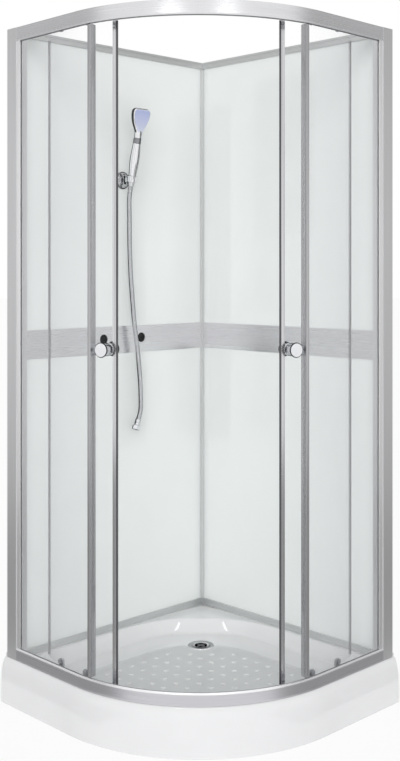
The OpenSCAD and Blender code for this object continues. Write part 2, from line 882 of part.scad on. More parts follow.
module door_seals() {
  color([0.15, 0.15, 0.17]) {
    arc_stretch(magnet_a, magnet_end_a) profile_box(door_in - 1, door_out + 1.5, door_low - 2, lead_high);
    difference() {
      arc_stretch(trail_a - seal_a / 4, trail_a + seal_a * 3 / 4)
        profile_box(door_in - seal_t, door_out + seal_t, seal_low, seal_high);
      arc_stretch(trail_a - 0.03, trail_a + seal_a)
        profile_box(door_in - 0.02, door_out + 0.02, low_z, cabin_h);
    }
  }
}

// Round section of the outer knob: body on the glass, domed disc at its end
module outer_knob_profile() {
  reach = knob_reach - knob_disc_t;
  polygon([
    [0, 0], [knob_body_d / 2, 0], [knob_body_d / 2, reach], [knob_disc_d / 2 - 0.8, reach],
    [knob_disc_d / 2, reach + 1], [knob_disc_d / 2, reach + knob_disc_t - 1.6],
    [knob_disc_d / 2 - 1.6, reach + knob_disc_t - 0.5], [knob_disc_d / 4, reach + knob_disc_t - 0.1],
    [0, reach + knob_disc_t]
  ]);
}

module door_knobs() {
  stud_l = glass_t + 12;
  color("lightgray") {
    outward(knob_at_a, knob_z) translate([0, 0, door_out]) {
      rotate_extrude() outer_knob_profile();
      translate([0, 0, -stud_l]) cylinder(r = knob_stud_r, h = stud_l);
    }
    difference() {
      outward(knob_at_a, knob_z) translate([0, 0, door_in - seat_fit * 2]) mirror([0, 0, 1])
        rotate_extrude() outer_knob_profile();
      outward(knob_at_a, knob_z) translate([0, 0, door_out - stud_l - 0.2])
        cylinder(r = knob_stud_r + run_fit, h = rail_r);
    }
  }
}

// Shoulder, pin and end cap that carry one wheel, from a start radius outwards
module axle(spot, from) {
  side = spot[2] - wheel_w / 2 - side_gap;
  outward(spot[0], spot[1]) {
    translate([0, 0, from]) cylinder(r = shoulder_r, h = side - from);
    translate([0, 0, from]) cylinder(r = axle_r, h = side - from + wheel_w + 2 * side_gap);
    translate([0, 0, side + wheel_w + 2 * side_gap]) cylinder(r = shoulder_r, h = cap_t);
  }
}

module top_holder(lead) {
  spot = wheel_spot(lead, true);
  plate = door_in - seat_fit;
  outward(spot[0], spot[1]) {
    translate([0, 0, plate - holder_t]) cylinder(r = holder_r, h = holder_t);
    translate([0, 0, plate - 1]) cylinder(r = bush_r, h = door_out + bush_l - plate + 1);
  }
  axle(spot, door_out + bush_l);
}

module low_holder(lead) {
  spot = wheel_spot(lead, false);
  plate = door_in - seat_fit;
  outward(spot[0], low_axle_z) {
    translate([0, 0, plate - holder_t]) {
      hull() {
        for (y = [-1, 1]) {
          translate([-holder_rise - holder_cap + holder_corner, y * (holder_r - holder_corner), 0])
            cylinder(r = holder_corner, h = holder_t);
        }
        translate([-foot_h, -holder_r, 0]) cube([2 * foot_h, 2 * holder_r, holder_t]);
      }
      translate([-foot_h, -holder_r, 0]) cube([2 * foot_h, 2 * holder_r, foot_out - plate + holder_t]);
    }
    translate([-holder_rise, 0, plate - 1]) cylinder(r = holder_bolt_r, h = glass_t + 1.5);
    translate([-holder_rise, 0, door_out]) cylinder(r = holder_bolt_r, h = holder_head_t);
    translate([-holder_rise, 0, door_out]) cylinder(r = holder_head_r, h = holder_head_t);
  }
  axle(spot, foot_out);
}

module roller_holders() {
  color("gray") for (lead = [true, false]) {
    top_holder(lead);
    low_holder(lead);
  }
}

module wheel(lead, top) {
  spot = wheel_spot(lead, top);
  rim = 0.6;
  color("whitesmoke") outward(spot[0], spot[1]) translate([0, 0, spot[2] - wheel_w / 2]) rotate_extrude() polygon([
    [axle_r + run_fit, 0], [wheel_r - rim, 0], [wheel_r, rim], [wheel_r, wheel_w - rim],
    [wheel_r - rim, wheel_w], [axle_r + run_fit, wheel_w]
  ]);
}

// Rubber block on the track just past the trailing wheel of an open door
module door_stop(opening, z) {
  dx = arc_cx - pivot_x;
  dy = arc_cy - pivot_y;
  spot = wheel_spot(false, true);
  a = spot[0] - 90;
  px = dx + spot[2] * cos(a);
  py = dy + spot[2] * sin(a);
  wheel_x = pivot_x + px * cos(opening) + py * sin(opening);
  run = arc_cx - wheel_x + wheel_r + 1;
  straight_stretch(run, run + stop_l)
    profile_box(track_r - stop_w / 2, track_r + stop_w / 2, z + track_z, z + track_z + stop_h);
}

module door_stops() {
  color("black") for (z = [top_z, low_z]) {
    door_stop(open_left, z);
    right_side() door_stop(open_right, z);
  }
}

module post_screws() {
  for (z = [top_port_z, low_port_z]) {
    screw_axis(z) {
      translate([0, 0, -screw_d / 2]) cylinder(r = screw_d * 0.65, h = screw_d / 2);
      cylinder(r = screw_d / 2, h = screw_l);
    }
  }
}

module frame_screws() {
  color("silver") {
    post_screws();
    right_side() post_screws();
  }
}

module shower_rosette() {
  arm_r = 9;
  color("dimgray") difference() {
    union() {
      translate([panel_x, shower_y, swivel_z]) rotate([0, 90, 0]) rotate_extrude() polygon([
        [0, 0], [rosette_r, 0], [rosette_r, rosette_t / 3], [rosette_r - 4, rosette_t * 2 / 3],
        [rosette_r / 2, rosette_t], [0, rosette_t]
      ]);
      translate([panel_x + rosette_t - past, shower_y, swivel_z]) rotate([0, 90, 0])
        cylinder(r = arm_r - 1.5, h = swivel_x - panel_x - rosette_t + past);
      translate([swivel_x, shower_y + barrel_l / 2, swivel_z]) rotate([90, 0, 0])
        cylinder(r = barrel_r, h = barrel_l);
    }
    translate([swivel_x, shower_y + barrel_l, swivel_z]) rotate([90, 0, 0])
      cylinder(r = pin_r + run_fit, h = 2 * barrel_l);
  }
}

// Places a part along the handset's own axis, which leans out from the wall
module on_handset() {
  translate([handset_x, shower_y, handset_z]) rotate([0, handset_lean, 0]) children();
}

// Radius of the handset above its lower end: tapered foot, full grip, slimmer neck
function handset_radius(z) =
  z < grip_z
  ? foot_r + (grip_r - foot_r) * (1 - cos(180 * (z - ring_low) / (grip_z - ring_low))) / 2
  : grip_r - (grip_r - neck_r) * (1 - cos(180 * (z - grip_z) / (neck_z - grip_z))) / 2;

module shower_cradle() {
  ring_out = handset_radius(ring_low + ring_h) + ring_t;
  ear_x = -11;
  color("silver") {
    difference() {
      union() {
        difference() {
          on_handset() translate([0, 0, ring_low]) cylinder(r = ring_out, h = ring_h);
          translate([swivel_x, shower_y + barrel_l / 2 + run_fit, swivel_z]) rotate([90, 0, 0])
            cylinder(r = barrel_r + ear_gap, h = barrel_l + 2 * run_fit);
        }
        for (side = [-1, 1]) {
          translate([swivel_x, shower_y + side * (barrel_l / 2 + run_fit + ear_t / 2), swivel_z])
            rotate([90, 0, 0]) translate([0, 0, -ear_t / 2]) {
              cylinder(r = barrel_r, h = ear_t);
              translate([0, -barrel_r, 0]) cube([-ear_x, 2 * barrel_r, ear_t]);
            }
        }
      }
      on_handset() rotate_extrude() polygon(concat(
        [[0, ring_low - past], [foot_r + ring_fit, ring_low - past]],
        [for (i = [0:4]) let (z = ring_low + i * ring_h / 4) [handset_radius(z) + ring_fit, z]],
        [[handset_radius(ring_low + ring_h) + ring_fit, ring_low + ring_h + past], [0, ring_low + ring_h + past]]
      ));
      on_handset() translate([0, -hose_r - past, ring_low - past])
        cube([ring_out + past, 2 * hose_r + 2 * past, ring_h + 2 * past]);
    }
    translate([swivel_x, shower_y + barrel_l / 2 + run_fit + ear_t, swivel_z]) rotate([90, 0, 0])
      cylinder(r = pin_r, h = barrel_l + 2 * run_fit + 2 * ear_t);
  }
}

// Outline of the spray head from the front, with rounded upper corners
module head_outline(inset) {
  corner = 16;
  hull() {
    translate([0, neck_z + 14 + corner / 2]) circle(r = neck_r - 1 - inset, $fn = 32);
    for (side = [-1, 1]) {
      translate([side * (head_w / 2 - corner), handset_l - corner]) circle(r = corner - inset, $fn = 32);
      translate([side * (head_w / 2 - corner - 4), handset_l - head_l / 2]) circle(r = corner - inset, $fn = 32);
    }
  }
}

module head_slab(inset, x0, t) {
  translate([x0, 0, 0]) rotate([90, 0, 90]) linear_extrude(t) head_outline(inset);
}

module handset() {
  color("gainsboro") on_handset() difference() {
    union() {
      rotate_extrude() polygon(concat(
        [[0, ring_low]],
        [for (i = [0:4]) let (z = ring_low + i * ring_h / 4) [handset_radius(z), z]],
        [for (i = [1:12]) let (z = ring_low + ring_h + i * (neck_z + 14 - ring_low - ring_h) / 12)
          [handset_radius(min(z, neck_z)), z]],
        [[0, neck_z + 14]]
      ));
      head_slab(0, -head_t / 2, head_t);
    }
    head_slab(5, head_t / 2 - face_t, face_t + past);
  }
}

module spray_face() {
  color("lightsteelblue") on_handset() head_slab(5 + groove_fit, head_t / 2 - face_t, face_t + 1.5);
}

module cone_nut() {
  color("lightgray") on_handset() cylinder(r1 = hose_r + 1, r2 = nut_r, h = ring_low);
}

// Points on a smooth curve through the route, and the ring of one point's cross-section
function hose_place(i) = let (p = HOSE_ROUTE[max(0, min(i, len(HOSE_ROUTE) - 1))]) [p[0] - half, half - p[1], p[2]];
function hose_at(i, t) =
  let (a = hose_place(i - 1), b = hose_place(i), c = hose_place(i + 1), d = hose_place(i + 2))
  0.5 * (2 * b + (c - a) * t + (2 * a - 5 * b + 4 * c - d) * t * t + (3 * b - a - 3 * c + d) * t * t * t);
hose_start_dir = [-sin(handset_lean), 0, -cos(handset_lean)];
hose_end_dir = [0, -sin(hose_end_tilt), -cos(hose_end_tilt)];
hose_points = [
  hose_place(0) + run_fit * 2 * hose_start_dir,
  for (i = [0:len(HOSE_ROUTE) - 2]) for (k = [0:hose_steps - 1]) if (i + k > 0) hose_at(i, k / hose_steps),
  hose_place(len(HOSE_ROUTE) - 1)
];
function unit(v) = v / norm(v);
function hose_dir(i) =
  i == 0 ? hose_start_dir
  : i == len(hose_points) - 1 ? hose_end_dir
  : unit(hose_points[i + 1] - hose_points[i - 1]);
function hose_ring(i) =
  let (d = hose_dir(i), side = unit(cross(d, [0, 1, 0])), up = cross(side, d))
  [for (k = [0:hose_sides - 1]) let (a = k * 360 / hose_sides)
    hose_points[i] + hose_r * (cos(a) * side + sin(a) * up)];

module hose() {
  n = len(hose_points);
  s = hose_sides;
  rings = [for (i = [0:n - 1]) each hose_ring(i)];
  walls = [
    for (i = [0:n - 2]) for (k = [0:s - 1])
      let (a = i * s + k, b = i * s + (k + 1) % s) each [[a, b, b + s], [a, b + s, a + s]]
  ];
  start = [for (k = [1:s - 2]) [0, k + 1, k]];
  end = [for (k = [1:s - 2]) [(n - 1) * s, (n - 1) * s + k, (n - 1) * s + k + 1]];
  color("silver") polyhedron(points = rings, faces = concat(walls, start, end));
}

module hose_nut() {
  sleeve = hose_nut_l * 0.55;
  bore_r = 9.3;
  color("silver") translate(hose_place(len(HOSE_ROUTE) - 1)) rotate([-hose_end_tilt, 0, 0]) difference() {
    union() {
      translate([0, 0, -sleeve]) cylinder(r = hose_r + 1, h = sleeve);
      translate([0, 0, -hose_nut_l]) cylinder(r = hose_nut_af / sqrt(3), h = hose_nut_l - sleeve, $fn = 6);
    }
    translate([0, 0, -hose_nut_l - past]) cylinder(r = bore_r, h = 11 + past);
  }
}

tray();
tray_frame();
foot_studs();
foot_nuts();
foot_pads();
drain_flange();
drain_gasket();
drain_grate();
drain_trap();
corner_post();
stile();  // left_stile
right_side() stile();  // right_stile
wall_bar(top_bar_z, bar_w);  // left_top_bar
right_side() wall_bar(top_bar_z, bar_w);  // right_top_bar
wall_bar(ledge_z, sill_top - ledge_z);  // left_sill_bar
right_side() wall_bar(ledge_z, sill_top - ledge_z);  // right_sill_bar
left_band();
right_side() band();  // right_band
upper_panel();  // left_upper_panel
right_side() upper_panel();  // right_upper_panel
lower_panel();  // left_lower_panel
right_side() lower_panel();  // right_lower_panel
post();  // left_post
right_side() post();  // right_post
glazing_channel();  // left_glazing_channel
right_side() glazing_channel();  // right_glazing_channel
top_rail();
bottom_rail();
glazing_gaskets();
fixed_pane();  // left_fixed_glass
right_side() fixed_pane();  // right_fixed_glass
edge_profile();  // left_edge_profile
right_side() edge_profile();  // right_edge_profile
door_stops();
frame_screws();
open_left_door() door_pane();  // left_door_glass
open_right_door() door_pane();  // right_door_glass
open_left_door() lead_profile();  // left_lead_profile
open_right_door() lead_profile();  // right_lead_profile
open_left_door() door_seals();  // left_door_seals
open_right_door() door_seals();  // right_door_seals
open_left_door() door_knobs();  // left_door_knobs
open_right_door() door_knobs();  // right_door_knobs
open_left_door() roller_holders();  // left_roller_holders
open_right_door() roller_holders();  // right_roller_holders
open_left_door() wheel(true, true);  // left_top_lead_wheel
open_left_door() wheel(false, true);  // left_top_trail_wheel
open_left_door() wheel(true, false);  // left_low_lead_wheel
open_left_door() wheel(false, false);  // left_low_trail_wheel
open_right_door() wheel(true, true);  // right_top_lead_wheel
open_right_door() wheel(false, true);  // right_top_trail_wheel
open_right_door() wheel(true, false);  // right_low_lead_wheel
open_right_door() wheel(false, false);  // right_low_trail_wheel
shower_rosette();
shower_cradle();
handset();
spray_face();
cone_nut();
hose();
hose_nut();
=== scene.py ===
# %% [markdown]
# # A quadrant shower cabin, dressed piece by piece
#
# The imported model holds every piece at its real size, and the script never moves it. What follows
# gives each visible piece the finish of the real one: satin aluminium, clear glass, white acrylic,
# polished chrome and a spiral wound hose. Curved pieces are worked out again with numpy, because the
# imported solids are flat-shaded triangles, and a curve in polished metal shows every facet.

# %% Load the frame and keep the CAD box
import math

import bmesh
import bpy
import numpy as np
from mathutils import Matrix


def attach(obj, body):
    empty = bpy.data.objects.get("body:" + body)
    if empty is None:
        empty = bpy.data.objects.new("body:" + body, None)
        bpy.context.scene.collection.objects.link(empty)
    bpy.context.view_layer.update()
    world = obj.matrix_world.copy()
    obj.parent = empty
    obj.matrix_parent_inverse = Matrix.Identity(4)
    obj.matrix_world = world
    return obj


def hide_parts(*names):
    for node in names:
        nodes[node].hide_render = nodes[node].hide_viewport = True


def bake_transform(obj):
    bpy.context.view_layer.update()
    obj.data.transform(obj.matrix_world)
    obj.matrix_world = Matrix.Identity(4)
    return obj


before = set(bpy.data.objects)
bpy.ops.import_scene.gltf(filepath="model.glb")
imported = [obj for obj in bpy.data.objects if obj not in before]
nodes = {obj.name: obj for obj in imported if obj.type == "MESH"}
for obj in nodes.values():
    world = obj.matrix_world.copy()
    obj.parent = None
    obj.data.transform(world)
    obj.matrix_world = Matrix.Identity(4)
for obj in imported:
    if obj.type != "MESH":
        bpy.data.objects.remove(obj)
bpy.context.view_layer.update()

# %% [markdown]
# ## The camera
#
# The verticals of the picture stay upright, so the photographer held the camera level and moved the
# lens down, as architects do. A level camera with a small lens shift gives the same view. A tilted
# camera would make the posts lean.

# %% The camera of the photograph
CAMERA_PLACE = (2.500, -2.4236, 1.3835)
LOOK = (-0.7098, 0.7044)
camera_data = bpy.data.cameras.new("photo_camera")
camera = bpy.data.objects.new("photo_camera", camera_data)
bpy.context.scene.collection.objects.link(camera)
bpy.context.scene.camera = camera
camera.location = CAMERA_PLACE
camera.rotation_euler = (math.radians(90), 0, math.atan2(-LOOK[0], LOOK[1]))
camera_data.lens = 51.53
camera_data.sensor_width = 36
camera_data.shift_x = -0.0164
camera_data.shift_y = -0.1469
camera_data.clip_end = 100
print("camera at", tuple(camera.location), "lens", camera_data.lens)

# %% [markdown]
# ## Helpers for shapes
#
# Nearly every piece here is one of three kinds: a profile swept along a path (rails, panes, seals), a
# profile turned about an axis (knobs, wheels, rosette) or a grid of points that a formula gives (tray,
# handset). Each helper works out all its points at once as an array.

# %% Grids and finished pieces
MM = 0.001


def grid_faces(rows, columns, ring=False):
    """Quads between neighbours of a grid numbered row by row; ring joins the last column to the first."""
    row, column = np.meshgrid(np.arange(rows - 1), np.arange(columns - (not ring)), indexing="ij")
    after = (column + 1) % columns
    here = row * columns
    above = here + columns
    return np.stack((here + column, here + after, above + after, above + column), -1).reshape(-1, 4)


def loops_at_ends(sides, last):
    """The two end faces of a tube: the first loop of points, and the loop that starts at number last."""
    return [list(range(sides)), list(range(last, last + sides))]


def joined(*shapes):
    """Several shapes as one: each shape's faces are renumbered by the points before it."""
    points, faces, start = [], [], 0
    for shape_points, shape_faces in shapes:
        points.append(np.asarray(shape_points, float).reshape(-1, 3))
        faces.extend([[start + int(i) for i in face] for face in shape_faces])
        start += len(points[-1])
    return np.concatenate(points), faces


def repeated(shape, places):
    """One shape at many places: every copy is the shape's points plus its place, added all at once."""
    points, faces = np.asarray(shape[0]), np.asarray(shape[1])
    every = (places[:, None] + points[None]).reshape(-1, 3)
    start = np.arange(len(places))[:, None, None] * len(points)
    return every, (start + faces[None]).reshape(-1, faces.shape[1])


def make_piece(name, shape, material, body="root", replaced=(), sharp=32):
    """A mesh object from points in metres and faces, with doubles merged and normals outwards."""
    points, faces = shape
    mesh = bpy.data.meshes.new(name)
    mesh.from_pydata(np.asarray(points, float).tolist(), [], [list(map(int, face)) for face in faces])
    work = bmesh.new()
    work.from_mesh(mesh)
    bmesh.ops.remove_doubles(work, verts=work.verts, dist=1e-6)
    bmesh.ops.recalc_face_normals(work, faces=work.faces)
    work.to_mesh(mesh)
    work.free()
    mesh.polygons.foreach_set("use_smooth", np.ones(len(mesh.polygons), bool))
    mesh.set_sharp_from_angle(angle=math.radians(sharp))
    mesh.materials.append(material)
    piece = bpy.data.objects.new(name, mesh)
    bpy.context.scene.collection.objects.link(piece)
    if body:
        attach(piece, body)
    if replaced:
        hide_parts(*replaced)
    return piece


print("piece helpers ready; a millimetre is", MM, "m")

# %% [markdown]
# A sweep needs stations: for each one the point that the profile stands on and the direction that
# counts as outwards. Along the front of the cabin these are a straight, a quarter circle and a
# straight again, so one function serves rails, gaskets, panes and the tray's apron.

# %% Stations, sweeps and turned shapes
CENTRE = np.array([-0.090, 0.090])
STRAIGHT_STATIONS = 8


def front_path(start, end, left=0.0, right=0.0, step=1.0):
    """Stations on the front: a straight left, the curve from start to end degrees, a straight right."""
    angle = np.radians(np.linspace(start, end, max(2, int(round((end - start) / step)) + 1)))
    out = np.stack([np.sin(angle), -np.cos(angle)], 1)
    base = np.tile(CENTRE, (len(angle), 1))
    if left:
        back = np.linspace(left, 0.01, STRAIGHT_STATIONS)
        base = np.concatenate([np.stack([CENTRE[0] - back, np.full_like(back, CENTRE[1])], 1), base])
        out = np.concatenate([np.tile([0.0, -1.0], (STRAIGHT_STATIONS, 1)), out])
    if right:
        back = np.linspace(0.01, right, STRAIGHT_STATIONS)
        base = np.concatenate([base, np.stack([np.full_like(back, CENTRE[0]), CENTRE[1] + back], 1)])
        out = np.concatenate([out, np.tile([1.0, 0.0], (STRAIGHT_STATIONS, 1))])
    return base, out


def eased(outline, radius, steps=3):
    """A closed outline whose corners become short parabolas that start radius before the corner."""
    outline = np.asarray(outline, float)
    radius = np.broadcast_to(np.asarray(radius, float), len(outline))[:, None]
    before = np.roll(outline, 1, 0) - outline
    after = np.roll(outline, -1, 0) - outline
    length_before = np.linalg.norm(before, axis=1)[:, None]
    length_after = np.linalg.norm(after, axis=1)[:, None]
    reach = np.minimum(radius, 0.45 * np.minimum(length_before, length_after))
    a = outline + before / length_before * reach
    b = outline + after / length_after * reach
    t = np.linspace(0, 1, steps + 1)[None, :, None]
    curve = (1 - t) ** 2 * a[:, None] + 2 * t * (1 - t) * outline[:, None] + t ** 2 * b[:, None]
    return curve.reshape(-1, 2)


def sweep(outline, path):
    """A closed outline in millimetres (out, up) carried along the stations, with flat end faces."""
    base, out = path
    profile = np.asarray(outline, float) * MM
    flat = base[:, None, :] + out[:, None, :] * profile[None, :, :1]
    up = np.broadcast_to(profile[None, :, 1:], flat.shape[:2] + (1,))
    points = np.concatenate([flat, up], 2).reshape(-1, 3)
    count, rows = len(profile), len(base)
    return points, grid_faces(rows, count, ring=True).tolist() + loops_at_ends(count, (rows - 1) * count)


def turned(profile, origin, axis, steps=48):
    """A profile in millimetres (radius, along) turned about an axis through origin, which is in metres."""
    axis = np.asarray(axis, float) / np.linalg.norm(axis)
    side = np.cross(axis, [0.0, 0.0, 1.0] if abs(axis[2]) < 0.9 else [1.0, 0.0, 0.0])
    side /= np.linalg.norm(side)
    other = np.cross(axis, side)
    profile = np.asarray(profile, float) * MM
    turn = np.linspace(0, 2 * np.pi, steps, endpoint=False)[None, :, None]
    ring = np.cos(turn) * side + np.sin(turn) * other
    points = np.asarray(origin) + profile[:, None, 1:] * axis + profile[:, None, :1] * ring
    return points.reshape(-1, 3), grid_faces(len(profile), steps, ring=True).tolist()


def straight(outline, origin, along, across, upward, length):
    """A closed outline in millimetres carried in a straight line, with flat end faces."""
    profile = np.asarray(outline, float) * MM
    sideways = profile[:, :1] * np.asarray(across, float)
    section = np.asarray(origin) * MM + sideways + profile[:, 1:] * np.asarray(upward, float)
    points = np.concatenate([section, section + np.asarray(along, float) * length * MM])
    count = len(profile)
    return points, grid_faces(2, count, ring=True).tolist() + loops_at_ends(count, count)


def box_outline(x0, x1, y0, y1, ease=0.5):
    """A rectangle with eased corners."""
    return eased([[x0, y0], [x1, y0], [x1, y1], [x0, y1]], ease)


def mirrored(shape):
    """The same shape on the right-hand side: x and y change places and both change sign."""
    points, faces = shape
    points = np.asarray(points)
    return np.stack([-points[:, 1], -points[:, 0], points[:, 2]], 1), faces


print("helpers ready; the front curve turns about", CENTRE)

# %% [markdown]
# ## Helpers for finishes
#
# A finish is a shader whose roughness and bump vary a little, because no real surface is even.
# Constant values are set on the shader's own sockets, where the export finds them.

# %% Shader helpers
def new_finish(name, colour, roughness, metallic=0.0, **inputs):
    """A material with one Principled shader; more of its inputs can be given by name."""
    material = bpy.data.materials.new(name)
    material.use_nodes = True
    tree = material.node_tree
    shader = tree.nodes["Principled BSDF"]
    shader.inputs["Base Color"].default_value = (*colour, 1)
    shader.inputs["Roughness"].default_value = roughness
    shader.inputs["Metallic"].default_value = metallic
    for key, value in inputs.items():
        shader.inputs[key.replace("_", " ")].default_value = value
    return material, tree, shader


def noise(tree, scale, stretch=(1, 1, 1), detail=3.0):
    """Noise on the piece's own coordinates; a small stretch in one direction draws it out into a grain."""
    place = tree.nodes.new("ShaderNodeTexCoord")
    mapping = tree.nodes.new("ShaderNodeMapping")
    mapping.inputs["Scale"].default_value = stretch
    texture = tree.nodes.new("ShaderNodeTexNoise")
    texture.inputs["Scale"].default_value = scale
    texture.inputs["Detail"].default_value = detail
    tree.links.new(place.outputs["Object"], mapping.inputs["Vector"])
    tree.links.new(mapping.outputs["Vector"], texture.inputs["Vector"])
    return texture.outputs["Fac"]


def ranged(tree, value, low, high, start=0.3, end=0.7):
    """Maps a value from start..end to low..high."""
    step = tree.nodes.new("ShaderNodeMapRange")
    step.inputs["From Min"].default_value = start
    step.inputs["From Max"].default_value = end
    step.inputs["To Min"].default_value = low
    step.inputs["To Max"].default_value = high
    tree.links.new(value, step.inputs["Value"])
    return step.outputs["Result"]


def blended(tree, amount, first, second):
    """A colour between two colours by an amount from 0 to 1."""
    mix = tree.nodes.new("ShaderNodeMix")
    mix.data_type = "RGBA"
    mix.inputs["A"].default_value = (*first, 1)
    mix.inputs["B"].default_value = (*second, 1)
    tree.links.new(amount, mix.inputs["Factor"])
    return mix.outputs["Result"]


def coloured(tree, shader, amount, first, second):
    """The shader's colour runs from the first to the second as the amount goes from 0 to 1."""
    tree.links.new(blended(tree, amount, first, second), shader.inputs["Base Color"])


def glossed(tree, shader, value, low, high, start=0.3, end=0.7):
    """The shader's roughness runs from low to high as the value goes from start to end."""
    tree.links.new(ranged(tree, value, low, high, start, end), shader.inputs["Roughness"])


def bumped(tree, shader, height, strength, distance):
    """Bumps the shader's normal by a height; distance is how deep the marks are, in metres."""
    bump = tree.nodes.new("ShaderNodeBump")
    bump.inputs["Strength"].default_value = strength
    bump.inputs["Distance"].default_value = distance
    tree.links.new(height, bump.inputs["Height"])
    tree.links.new(bump.outputs["Normal"], shader.inputs["Normal"])


GRAIN_DEPTH = 0.000002


def brushed_metal(name, dark, light, roughness, stretch):
    """Metal with a fine grain: the stretch is large across the grain and small along it."""
    material, tree, shader = new_finish(name, light, roughness, metallic=1.0)
    grain = noise(tree, 1.0, stretch, detail=4.0)
    coloured(tree, shader, ranged(tree, grain, 0, 1), dark, light)
    glossed(tree, shader, grain, roughness + 0.06, roughness - 0.06)
    bumped(tree, shader, grain, 0.3, GRAIN_DEPTH)
    return material


print("shader helpers ready")

# %% [markdown]
# ## Metals
#
# The frame is extruded aluminium, satin anodised: pale grey, soft in its reflections, with a grain
# along the extrusion. The grain runs upright on posts and level on rails and bars. One function makes
# every one of these metals, and the noise is drawn out along the piece that wears it. The edge and
# leading profiles get wider dark and bright streaks up their height, which are painted reflections of
# the lines that they mirror.

# %% Aluminium finishes
UPRIGHT = (420, 420, 3)
LEVEL = (3, 3, 420)
FINE_LEVEL = (2, 2, 500)
EDGE_REFLECTION_STREAKS = (190, 190, 0.8)
LEAD_REFLECTION_STREAKS = (150, 150, 0.8)
post_metal = brushed_metal(
    "satin_aluminium_upright", (0.7, 0.7, 0.71), (0.74, 0.74, 0.75), 0.34, UPRIGHT)
rail_metal = brushed_metal(
    "satin_aluminium_level", (0.72, 0.72, 0.735), (0.76, 0.76, 0.775), 0.3, LEVEL)
# Painted shade: the bottom rail wears a darker copy of the rail's aluminium.
shaded_low_rail_metal = brushed_metal(
    "shaded_aluminium_low_rail", (0.6, 0.595, 0.625), (0.64, 0.635, 0.665), 0.32, LEVEL)
# Painted highlight: a brighter copy of the aluminium for the thin strip on the bottom rail's upper edge.
bevel_highlight_metal = brushed_metal(
    "bevel_highlight_aluminium", (0.88, 0.88, 0.9), (0.92, 0.92, 0.94), 0.25, LEVEL)
bar_metal = brushed_metal(
    "satin_bar_aluminium", (0.7, 0.71, 0.71), (0.75, 0.76, 0.76), 0.34, LEVEL)
stile_metal = brushed_metal(
    "satin_stile_aluminium", (0.78, 0.78, 0.79), (0.82, 0.82, 0.83), 0.34, UPRIGHT)
corner_metal = brushed_metal(
    "satin_corner_aluminium", (0.73, 0.735, 0.735), (0.78, 0.785, 0.785), 0.38, UPRIGHT)
# Painted reflections: wide dark and bright streaks up the edge and leading profiles.
edge_metal = brushed_metal(
    "pane_edge_aluminium", (0.42, 0.42, 0.435), (0.78, 0.78, 0.795), 0.24, EDGE_REFLECTION_STREAKS)
lead_metal = brushed_metal(
    "door_lead_aluminium", (0.5, 0.5, 0.515), (0.78, 0.78, 0.795), 0.22, LEAD_REFLECTION_STREAKS)
channel_metal = brushed_metal(
    "bright_channel_aluminium", (0.94, 0.94, 0.95), (0.97, 0.97, 0.98), 0.25, UPRIGHT)
band_metal = brushed_metal(
    "brushed_band", (0.79, 0.79, 0.805), (0.82, 0.82, 0.835), 0.3, FINE_LEVEL)
print("eleven aluminium finishes")

# %% [markdown]
# Knobs, handset, hose and waste are plated. A plated surface is a mirror, so nearly all of its look
# comes from what stands round it. Each plating gets its own darkness, and noise in its roughness
# stands for wiped water marks.

# %% Chrome, steel and dark chrome
def polished_metal(name, colour, roughness=0.06):
    """Plated metal: smooth, darker at a grazing view, with faint wipe marks in its roughness."""
    material, tree, shader = new_finish(
        name, colour, roughness, metallic=1.0, Specular_Tint=(0.05, 0.05, 0.06, 1))
    glossed(tree, shader, noise(tree, 60), roughness * 0.6, roughness * 1.6)
    return material


chrome = polished_metal("polished_chrome", (0.8, 0.81, 0.83))
handset_chrome = polished_metal("plated_plastic", (0.88, 0.885, 0.9), 0.07)
# Dark chrome for the head's rim band and the drain's cup; round the knobs' discs it is a painted reflection.
dark_chrome_and_painted_reflection = polished_metal("dark_chrome_and_painted_reflection", (0.07, 0.072, 0.078), 0.1)
rosette_chrome = polished_metal("rosette_chrome", (0.5, 0.505, 0.52), 0.08)
# A darker plating for the ring at the handset's neck: a painted reflection of a dark band.
painted_reflection_chrome = polished_metal("painted_reflection_chrome", (0.3, 0.305, 0.32), 0.12)
hose_steel = polished_metal("hose_steel", (0.62, 0.63, 0.65), 0.14)
bright_chrome = polished_metal("bright_chrome", (0.95, 0.95, 0.96), 0.1)
zinc = brushed_metal("zinc_plate", (0.5, 0.5, 0.5), (0.62, 0.62, 0.62), 0.35, (90, 90, 90))
print("seven platings and zinc")

# %% [markdown]
# ## Acrylic, wall panels, plastics and rubber
#
# The tray is drawn from one sheet of glossy white acrylic; its floor has a fine anti-slip texture that
# is rougher than the walls of the basin, and there its colour is painted greyer, as shade for the light
# it mirrors less. The back walls are smooth panels of a cooler white, with a trace of green.

# %% White finishes
acrylic, tree, shader = new_finish(
    "white_acrylic", (0.81, 0.812, 0.825), 0.14, Coat_Weight=0.4, Coat_Roughness=0.06)
coloured(tree, shader, ranged(tree, noise(tree, 5), 0, 1), (0.795, 0.797, 0.805), (0.825, 0.827, 0.835))
glossed(tree, shader, noise(tree, 40), 0.1, 0.18)
bumped(tree, shader, noise(tree, 9, detail=1.0), 0.25, 0.0006)

basin_acrylic, tree, shader = new_finish(
    "basin_acrylic", (0.84, 0.845, 0.855), 0.12, Coat_Weight=0.5, Coat_Roughness=0.04)
zone = tree.nodes.new("ShaderNodeAttribute")
zone.attribute_name = "anti_slip_and_shade"
# Painted shade: where the floor is textured its colour turns greyer, and its gloss rougher.
coloured(tree, shader, zone.outputs["Fac"], (0.84, 0.843, 0.85), (0.62, 0.625, 0.635))
glossed(tree, shader, zone.outputs["Fac"], 0.12, 0.3, 0.0, 1.0)
bumped(tree, shader, noise(tree, 260, detail=1.0), 0.08, 0.0002)

